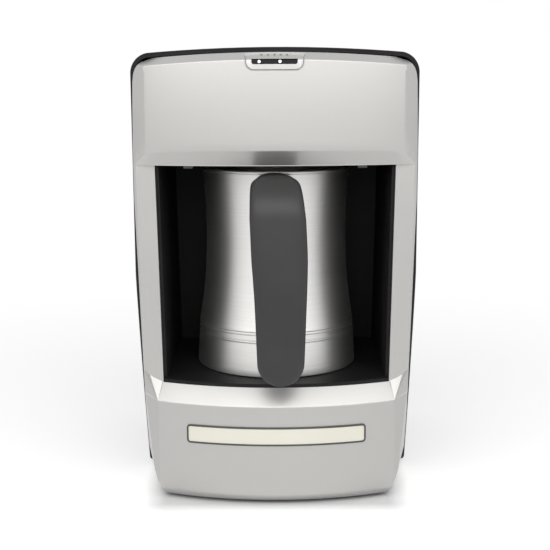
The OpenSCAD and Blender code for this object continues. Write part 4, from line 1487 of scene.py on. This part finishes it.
    def build(self, dresser: Dresser, pocket: bpy.types.Object) -> None:
        """Builds the moulding.

        Args:
            dresser: gives it its finish.
            pocket: the solid that is cut out for the start button.
        """
        whole = self.mass("fascia_moulding", 0)
        Bench.join_solid(whole, FORM.seam("seam_front"), Join.KEEP_COMMON)
        Bench.join_solid(whole, self.mass("fascia_inside", FORM.wall), Join.CUT)
        Bench.join_solid(whole, pocket, Join.CUT)
        Bench.tidy(whole, self.facet_angle)
        dresser.place(whole, SILVER, Body.MACHINE, "front_fascia")


@dataclass
class Housing:
    """Black shell behind the fascia, with its rounded rim, slots and cord hole."""

    rear_r: float = 18
    rim: float = 2.2
    over_z: float = 260
    slots: tuple[int, ...] = (-2, -1, 0, 1, 2)
    slot_w: float = 4
    slot_pitch: float = 10
    slot_low: float = 40
    slot_high: float = 58
    slot_d: float = 4
    slot_round: float = 0.98
    cord_x: float = 44
    cord_z: float = 22
    cord_r: float = 6
    cord_d: float = 12

    def block(self, name: str, inset: float) -> bpy.types.Object:
        """The housing's outer or inner block.

        Args:
            name: name of the solid.
            inset: how far its faces are set in.

        Returns:
            The solid.
        """
        half, back = FORM.body_half - inset, FORM.back_y - inset
        front, low = FORM.seam_y, FORM.under_z
        if inset:
            front, low = front - 10, low - 5
        solid = Bench.cube(name, (-half, front, low), (half, back, self.over_z))
        Bench.round_edges(solid, lambda a, b: min(a.y, b.y) > back - 1 and abs(a.z - b.z) > 50,
                          self.rear_r - inset, 14)
        Bench.slice(solid, FORM.outline_cuts(half, FORM.top_z - inset, FORM.corner_r - inset))
        return solid

    def build(self, dresser: Dresser) -> None:
        """Builds the housing.

        Args:
            dresser: gives it its finish.
        """
        shell = self.block("housing_shell", 0)
        Bench.join_solid(shell, FORM.seam("seam_rear"), Join.CUT)
        Bench.tidy(shell, merge=FINE_DOUBLES)
        Bench.soften(shell, self.rim, 5, 35)
        Bench.join_solid(shell, self.block("housing_inside", FORM.wall), Join.CUT)
        for i in self.slots:
            x, half = i * self.slot_pitch, self.slot_w / 2
            slot = Bench.cube("slot", (x - half, FORM.back_y - self.slot_d, self.slot_low),
                              (x + half, FORM.back_y + 1, self.slot_high))
            Bench.round_edges(slot, lambda a, b: abs(a.y - b.y) > 3, half * self.slot_round,
                              8)
            Bench.join_solid(shell, slot, Join.CUT)
        hole = Bench.cylinder("cord_hole", (self.cord_x, FORM.back_y, self.cord_z), self.cord_r,
                              self.cord_d, Axis.Y)
        Bench.join_solid(shell, hole, Join.CUT)
        Bench.tidy(shell)
        dresser.place(shell, BLACK, Body.MACHINE, "rear_housing")


@dataclass
class StartButton:
    """Silver push pad in the header's top edge, with its dark window, two lights and five dots."""

    half: float = 14.9
    low_z: float = 234.6
    over_z: float = 250
    corner_r: float = 4.0
    edge_r: float = 0.5
    groove: float = 0.75
    groove_d: float = 0.9
    front_y: float = -90
    back_y: float = -68.7757
    pocket_d: float = 23.2
    window_half: float = 11.9
    window_z: float = 238.9
    window_h: float = 2.7
    window_r: float = 1.2
    window_back: float = 2
    lights: tuple[float, ...] = (-7.9, 2.8)
    light_r: float = 0.8
    light_h: float = 2.2
    light_edge: float = 0.3
    light_in: float = 1.0
    dots: tuple[float, ...] = (-6.8, -3.4, 0.0, 3.2, 6.4)
    dot_z: float = 242.3
    dot_r: float = 0.5
    dot_h: float = 1.0
    dot_edge: float = 0.1
    dot_foot_z: float = 240.1
    dot_in: float = 3.9
    bed_lap: float = 0.15
    bed_gap: float = 0.12
    bed_inner: Pair = (-95, -55)

    def prism(self, name: str, grown: float, front: float, back: float) -> bpy.types.Object:
        """The U-shaped pad as a prism.

        Args:
            name: name of the solid.
            grown: margin by which its outline is grown.
            front: where it begins along Y.
            back: where it ends along Y.

        Returns:
            The prism.
        """
        half, radius, low = self.half + grown, self.corner_r + grown, self.low_z - grown
        right = arc((half - radius, low + radius), radius, -90, 0, 8)
        left = arc((-half + radius, low + radius), radius, 180, 270, 8)
        line = right + [(half, self.over_z), (-half, self.over_z)] + left
        return Bench.prism(name, [(x, front, z) for x, z in line], (0, back - front, 0))

    def pocket(self) -> bpy.types.Object:
        """The solid that the fascia loses for the pad."""
        return self.prism("button_pocket", self.groove, self.front_y,
                          self.front_y + self.pocket_d)

    def stud(self, name: str, place: Triple, radius: float, height: float, edge: float,
             segments: int, sides: int) -> bpy.types.Object:
        """A small round piece that faces the user.

        Args:
            name: name of the piece.
            place: its middle.
            radius: its radius.
            height: its height.
            edge: width of its rounded edges.
            segments: number of strips of its edges.
            sides: number of its sides.

        Returns:
            The piece.
        """
        piece = Bench.cylinder(name, place, radius, height, Axis.Y, sides)
        Bench.soften(piece, edge, segments)
        Bench.tidy(piece)
        return piece

    def build(self, dresser: Dresser, fascia: Fascia) -> None:
        """Builds the pad, its bed, window, lights and dots.

        Args:
            dresser: gives them their finishes.
            fascia: the moulding whose surface the pad follows.
        """
        pad = self.prism("start_button_pad", 0, self.front_y, self.back_y)
        skin = fascia.header_mass("button_skin", 0)
        Bench.join_solid(pad, skin, Join.KEEP_COMMON, keep=True)
        Bench.tidy(pad, merge=FINE_DOUBLES)
        Bench.soften(pad, self.edge_r, 3, 30)
        low, high = self.window_z - self.window_h / 2, self.window_z + self.window_h / 2
        slot = Bench.cube("slot", (-self.window_half, self.front_y, low),
                          (self.window_half, self.back_y - self.window_back, high))
        Bench.round_edges(slot, lambda a, b: abs(a.y - b.y) > 3 and a.z < self.window_z,
                          self.window_r, 5)
        window = Bench.copy(slot, "button_window_strip")
        Bench.join_solid(pad, slot, Join.CUT)
        Bench.tidy(pad)
        dresser.place(pad, SILVER, Body.BUTTON, "start_button")
        Bench.edit(skin)
        Bench.shift((0, self.groove_d, 0))
        Bench.done()
        bed = self.prism("button_bed", self.groove + self.bed_lap, self.front_y, self.back_y)
        Bench.join_solid(bed, skin, Join.KEEP_COMMON, keep=True)
        Bench.join_solid(bed, self.prism("inside", self.bed_gap, *self.bed_inner), Join.CUT)
        Bench.tidy(bed, 20)
        dresser.place(bed, SILVER, Body.MACHINE)
        Bench.join_solid(window, skin, Join.KEEP_COMMON)
        Bench.tidy(window)
        dresser.place(window, WINDOW, Body.BUTTON, "button_window")
        for i, x in enumerate(self.lights):
            place = (x, fascia.skin_y(x, self.window_z) + self.light_in, self.window_z)
            light = self.stud(f"indicator_light_{i}", place, self.light_r, self.light_h,
                              self.light_edge, 3, 32)
            dresser.place(light, LENS, Body.BUTTON, "indicator_lenses")
        for i, x in enumerate(self.dots):
            place = (x, fascia.skin_y(x, self.dot_foot_z) + self.dot_in, self.dot_z)
            dot = self.stud(f"button_dot_{i}", place, self.dot_r, self.dot_h, self.dot_edge,
                            2, 20)
            dresser.place(dot, GREY, Body.BUTTON)


@dataclass
class Pot:
    """Brushed steel pot on its steel skirt, with two fine grooves above the joint."""

    foot_r: float = 46
    band_r: float = 44.6
    waist_r: float = 40.1
    rim_r: float = 42.2
    height: float = 114
    waist_z: float = 74
    band_z: float = 25.3
    body_z: float = 20.5
    lip_z: float = 19.3
    lip_in: float = 0.6
    skirt_z: float = 19
    skirt_wall: float = 1.2
    skirt_edge: float = 0.9
    skirt_chamfer: float = 0.4
    skirt_foot: float = 0.25
    skirt_levels: tuple[float, ...] = (4.0, 8.0, 12.0, 16.0)
    floor_z: float = 23
    under_z: float = 21.5
    under_in: float = 1.4
    bowl_z: float = 28
    bowl_r: float = 4
    wall: float = 1
    wall_low: float = 26.4
    wall_steps: int = 26
    bead_r: float = 0.95
    bead_in: float = 0.3
    bead_drop: float = 1.1
    outer_drop: float = 2.2
    inner_drop: float = 2.6
    grooves: tuple[Pair, ...] = ((20.4, 0.35), (23.6, 0.7), (25.2, 0.7))
    groove_w: float = 0.75
    seal_r: float = 37.6
    seal_z: float = 17.8
    opening_low: Triple = (-15, 20, 3)
    opening_high: Triple = (15, 60, 16)

    def radius(self, z: float) -> float:
        """Gives the pot's outer radius.

        Args:
            z: height above the pot's foot.

        Returns:
            The radius there.
        """
        if z < self.band_z:
            return self.foot_r + (self.band_r - self.foot_r) * z / self.band_z
        if z < self.waist_z:
            share = (self.waist_z - z) / (self.waist_z - self.band_z)
            return self.waist_r + (self.band_r - self.waist_r) * share ** 2
        share = (z - self.waist_z) / (self.height - self.waist_z)
        return self.waist_r + (self.rim_r - self.waist_r) * share ** 2

    def groove(self, z: float, depth: float) -> list[Pair]:
        """Profile of one turned groove at a height."""
        r, half = self.radius(z), self.groove_w / 2
        return [(r, z - half), (r - depth, z - half / 2), (r - depth, z + half / 2), (r, z + half)]

    def turned(self, name: str, profile: Sequence[Pair]) -> bpy.types.Object:
        """Turns a closed profile, with heights above the pot's foot, round the pot's axis."""
        lifted = [(r, z + FORM.pot_z) for r, z in profile]
        return Bench.turn(name, lifted, (0, FORM.pot_y))

    def build(self, dresser: Dresser) -> None:
        """Builds jug and skirt.

        Args:
            dresser: gives them their finish.
        """
        lip = self.radius(self.lip_z)
        profile = [(lip - self.lip_in, self.under_z), (lip - self.lip_in, self.lip_z),
                   (lip, self.lip_z)]
        for z, depth in self.grooves:
            profile += self.groove(z, depth)
        profile += [(self.radius(z), z)
                    for z in spread(self.wall_low, self.height - self.outer_drop,
                                    self.wall_steps)]
        profile += arc((self.rim_r - self.bead_in, self.height - self.bead_drop), self.bead_r,
                       -60, 200, 12)
        profile += [(self.radius(z) - self.wall, z)
                    for z in spread(self.height - self.inner_drop, self.bowl_z,
                                    self.wall_steps)]
        profile += arc((self.radius(self.bowl_z) - self.wall - self.bowl_r,
                        self.floor_z + self.bowl_r), self.bowl_r, 0, -90, 8)
        profile += [(0.0, self.floor_z), (0.0, self.under_z),
                    (self.radius(self.body_z) - self.under_in, self.under_z)]
        jug = self.turned("pot_jug", profile)
        Bench.tidy(jug, 35)
        dresser.place(jug, STEEL, Body.POT, "pot_body")
        self.skirt(dresser)

    def skirt(self, dresser: Dresser) -> None:
        """Builds the steel skirt with the opening for its connector.

        Args:
            dresser: gives it its finish.
        """
        top, inside = self.skirt_z, self.radius(self.skirt_z) - self.skirt_wall
        edge, small, foot = self.skirt_edge, self.skirt_chamfer, self.skirt_foot
        profile = [(inside, 0.0), (self.foot_r - edge, 0.0), (self.foot_r - foot, foot),
                   (self.foot_r, edge)]
        profile += [(self.radius(z), z) for z in (*self.skirt_levels, top - small)]
        profile += [(self.radius(top) - small, top), (self.seal_r, top),
                    (self.seal_r, self.seal_z), (inside, self.seal_z)]
        skirt = self.turned("pot_skirt", profile)
        axis = Vector((0, FORM.pot_y, FORM.pot_z))
        opening = Bench.cube("opening", axis + Vector(self.opening_low),
                             axis + Vector(self.opening_high))
        Bench.join_solid(skirt, opening, Join.CUT)
        Bench.tidy(skirt, 35)
        dresser.place(skirt, STEEL, Body.POT, "base_skirt")


class Station(NamedTuple):
    """A section of the handle, measured from the pot's axis and foot."""

    out: float
    height: float
    tilt: float
    half: float
    thick: float


@dataclass
class Handle:
    """Dark moulded handle: a crowned grip that bows out, a wide bend and an arm to the pot."""

    reach: float = 82.7
    bow_h: float = 62
    bow_r: float = 450
    widths: tuple[Pair, ...] = ((16, 12.4), (45, 13.4), (72, 14.6), (92, 14.5))
    thicks: tuple[Pair, ...] = ((4, 7.6), (45, 10.6), (92, 11.2))
    tip_thick: float = 0.4
    end_h: float = 3.7
    end_r: float = 12.4
    bend_r: float = 15
    bend_half: Pair = (14.5, 13.0)
    bend_thick: Pair = (11.2, 12.6)
    arm_in: float = 44.3
    arm_h: float = 107
    arm_run: float = 23
    arm_half: Pair = (13, 9.5)
    lean_h: float = 45
    lean_run: float = 65
    lean_x: float = -2.2
    lean_power: float = 1.7
    roundness: float = 2.4
    turn: float = 2
    sides: int = 56
    seat_h: float = 100
    seat_length: float = 60

    def grip_centre(self, h: float, thick: float) -> float:
        """Distance of the grip's middle line from the pot's axis at a height."""
        return self.reach - (h - self.bow_h) ** 2 / (2 * self.bow_r) - thick / 2

    @staticmethod
    def between(value: float, table: Sequence[Pair]) -> float:
        """Reads a value between the rows of a table.

        Args:
            value: where the table is read.
            table: places and values, in rising order.

        Returns:
            The value there.
        """
        for (a, low), (b, high) in zip(table, table[1:]):
            if value <= b:
                return low + (high - low) * max(0.0, (value - a) / (b - a))
        return table[-1][1]

    def tip(self) -> list[Station]:
        """Lists the rounded lower end.

        Returns:
            Its sections, from below.
        """
        rows = []
        for angle in range(10, 91, 10):
            a = math.radians(angle)
            height = self.end_h + self.end_r * (1 - math.cos(a))
            thick = self.between(height, self.thicks)
            crown = self.tip_thick + (1 - self.tip_thick) * math.sin(a)
            rows.append(Station(self.grip_centre(height, thick), height, 0.0,
                                self.end_r * math.sin(a), thick * crown))
        return rows

    def stations(self) -> list[Station]:
        """Lists the whole handle.

        Returns:
            Its sections, from the tip up and in to the pot.
        """
        rows, bend_h = self.tip(), self.arm_h - self.bend_r
        for height in spread(self.end_h + self.end_r, bend_h, 14)[1:]:
            thick = self.between(height, self.thicks)
            rows.append(Station(self.grip_centre(height, thick), height, 0.0,
                                self.between(height, self.widths), thick))
        start = rows[-1].out
        for share in spread(0, 1, 10)[1:]:
            a = math.pi / 2 * share
            half, thick = (low + (high - low) * share
                           for low, high in (self.bend_half, self.bend_thick))
            rows.append(Station(start - self.bend_r * (1 - math.cos(a)),
                                bend_h + self.bend_r * math.sin(a), a, half, thick))
        for share in spread(0, 1, 5)[1:]:
            half = self.arm_half[0] + (self.arm_half[1] - self.arm_half[0]) * share
            rows.append(Station(start - self.bend_r - self.arm_run * share, self.arm_h,
                                math.pi / 2, half, self.bend_thick[1]))
        return rows

    def build(self, dresser: Dresser) -> None:
        """Builds the handle.

        Args:
            dresser: gives it its finish.
        """
        y, z, rows = FORM.pot_y, FORM.pot_z, self.stations()
        grip = Bench.stack("handle_grip", 0, [(1, i) for i in range(len(rows))], self.sides)
        power = 2 / self.roundness

        def place(p: Vector) -> Triple:
            """Puts a corner of the plain column on the handle's section at its level.

            Args:
                p: place of the corner, with the number of its section as its height.

            Returns:
                The new place.
            """
            out, height, tilt, half, thick = rows[round(p.z)]
            length = math.hypot(p.x, p.y) or 1
            across, along = p.x / length, p.y / length
            lean = max(0.0, (height - self.lean_h) / self.lean_run)
            side = self.lean_x * lean ** self.lean_power
            x = side + half * math.copysign(abs(across) ** power, across)
            up = thick / 2 * math.copysign(abs(along) ** power, along)
            return x, y - out - up * math.cos(tilt), z + height + up * math.sin(tilt)

        Bench.mould(grip, place)
        Bench.tidy(grip)
        seat = Bench.cylinder("seat", (0, y, z + self.seat_h), self.arm_in, self.seat_length,
                              sides=128)
        Bench.join_solid(grip, seat, Join.CUT)
        Bench.edit(grip)
        bpy.ops.transform.rotate(value=-math.radians(self.turn), orient_axis="Z",
                                 center_override=metres((0, y, 0)))
        Bench.done()
        Bench.tidy(grip, 40)
        dresser.place(grip, HANDLE, Body.POT, "handle")


@dataclass
class Studio:
    """Plain pale studio: floor, world, lamps and camera. Its sizes are in metres."""

    camera_place: Triple = (0.003, -0.647, 0.231)
    pitch: float = 10.2
    roll: float = 0.27
    yaw: float = 0.28
    lens: float = 72
    sensor: float = 36
    clip: Pair = (0.01, 50)
    floor_size: float = 12
    floor_middle: Triple = (0, 2, 0)
    floor_white: Triple = (0.86, 0.86, 0.86)
    # Box round the object's footprint, and the distances from it over which the floor's lift grows
    # from nought: a painted contact shadow.
    footprint: Triple = (0.060, 0.078, 0)
    footprint_middle: Triple = (0, 0.006, 0)
    lift: float = 0.5
    painted_shadow_range: Pair = (0.002, 0.016)
    fade_range: Pair = (0.2, 0.55)
    soft_world: float = 0.28
    lamps: tuple[tuple[str, float], ...] = (("left", -40), ("front", 0), ("right", 40))
    lamp_rise: float = 27
    lamp_away: float = 1.4
    lamp_size: Pair = (1.0, 0.96)
    lamp_power: float = 5.7
    lamp_aim: Triple = (0, 0, 0.2)

    def floor(self) -> None:
        """Adds a white floor that keeps the object's real shadow, leaves a thin painted contact
        shadow round its footprint, and fades into the white world.
        """
        Bench.clear()
        bpy.ops.mesh.primitive_plane_add(size=self.floor_size, location=self.floor_middle)
        obj = Bench.adopt("studio_floor")
        mix = Recipe("floor_white", self.floor_white, 0.9)
        tree, surface = mix.tree, mix.shader.outputs[0]
        # Painted shadow: next to the footprint the floor gets no lift, so a thin darker band stays
        # round the object beside its real shadow; farther out the lift turns the floor white.
        beside = mix.vector("ABSOLUTE", mix.vector("SUBTRACT", mix.place, self.footprint_middle))
        beside = mix.vector("MAXIMUM", mix.vector("SUBTRACT", beside, self.footprint))
        clear = mix.ramp(mix.vector("LENGTH", beside), *self.painted_shadow_range, 0.0, self.lift)
        far = mix.ramp(mix.vector("LENGTH", mix.place), *self.fade_range)
        lift = mix.node("ShaderNodeEmission", Strength=clear)
        white = mix.node("ShaderNodeEmission", Strength=1.0)
        lifted = tree.nodes.new("ShaderNodeAddShader")
        tree.links.new(surface, lifted.inputs[0])
        tree.links.new(lift.outputs[0], lifted.inputs[1])
        fading = mix_shaders(tree, far, lifted.outputs[0], white.outputs[0])
        chosen = mix_shaders(tree, Studio.seen(tree), surface, fading)
        tree.links.new(chosen, tree.nodes["Material Output"].inputs["Surface"])
        obj.data.materials.append(mix.material)

    @staticmethod
    def seen(tree: bpy.types.NodeTree) -> bpy.types.NodeSocket:
        """Tells what is looked at from what gives light.

        Args:
            tree: the node tree.

        Returns:
            One for the camera, a mirror or clear glass, nought for light.
        """
        path = tree.nodes.new("ShaderNodeLightPath")
        total = path.outputs["Is Camera Ray"]
        for ray in ("Is Glossy Ray", "Is Transmission Ray"):
            total = calculate(tree, "MAXIMUM", total, path.outputs[ray])
        return total

    def world(self) -> None:
        """Sets a pale world, white where the camera and mirrors see it."""
        world = bpy.data.worlds.new("studio_world")
        bpy.context.scene.world = world
        world.use_nodes = True
        tree = world.node_tree
        tree.nodes.clear()
        lights = []
        for strength in (self.soft_world, 1.0):
            made = tree.nodes.new("ShaderNodeBackground")
            made.inputs["Color"].default_value = (1, 1, 1, 1)
            made.inputs["Strength"].default_value = strength
            lights.append(made.outputs[0])
        out = tree.nodes.new("ShaderNodeOutputWorld")
        chosen = mix_shaders(tree, Studio.seen(tree), *lights)
        tree.links.new(chosen, out.inputs["Surface"])

    def lamp(self, name: str, turn: float) -> None:
        """Adds a soft lamp that faces the object.

        Args:
            name: name of the lamp.
            turn: how far round from the front it hangs, in degrees.
        """
        turn, rise = math.radians(turn), math.radians(self.lamp_rise)
        aim = Vector(self.lamp_aim)
        place = aim + self.lamp_away * Vector((math.sin(turn) * math.cos(rise),
                                               -math.cos(turn) * math.cos(rise),
                                               math.sin(rise)))
        data = bpy.data.lights.new(name, "AREA")
        data.shape = "RECTANGLE"
        data.size, data.size_y = self.lamp_size
        data.energy = self.lamp_power
        obj = bpy.data.objects.new(name, data)
        obj.location = place
        obj.rotation_euler = (aim - place).to_track_quat("-Z", "Y").to_euler()
        bpy.context.scene.collection.objects.link(obj)

    def camera(self) -> None:
        """Adds the camera."""
        data = bpy.data.cameras.new("camera")
        data.lens, data.sensor_width = self.lens, self.sensor
        data.clip_start, data.clip_end = self.clip
        obj = bpy.data.objects.new("camera", data)
        obj.location = self.camera_place
        obj.rotation_euler = [math.radians(a) for a in (90 - self.pitch, self.roll, self.yaw)]
        bpy.context.scene.collection.objects.link(obj)
        bpy.context.scene.camera = obj

    def build(self) -> None:
        """Builds the whole studio."""
        bpy.context.scene.view_settings.view_transform = "Standard"
        self.camera()
        self.floor()
        self.world()
        for name, turn in self.lamps:
            self.lamp(name, turn)


def main() -> None:
    """Builds the coffee maker and its studio, piece by piece."""
    logging.basicConfig(level=logging.INFO, format="%(message)s")
    dresser = Dresser()
    dresser.dress_nodes()
    fascia = Fascia()
    button = StartButton()
    fascia.build(dresser, button.pocket())
    Housing().build(dresser)
    button.build(dresser, fascia)
    Pot().build(dresser)
    Handle().build(dresser)
    Studio().build()


if __name__ == "__main__":
    main()
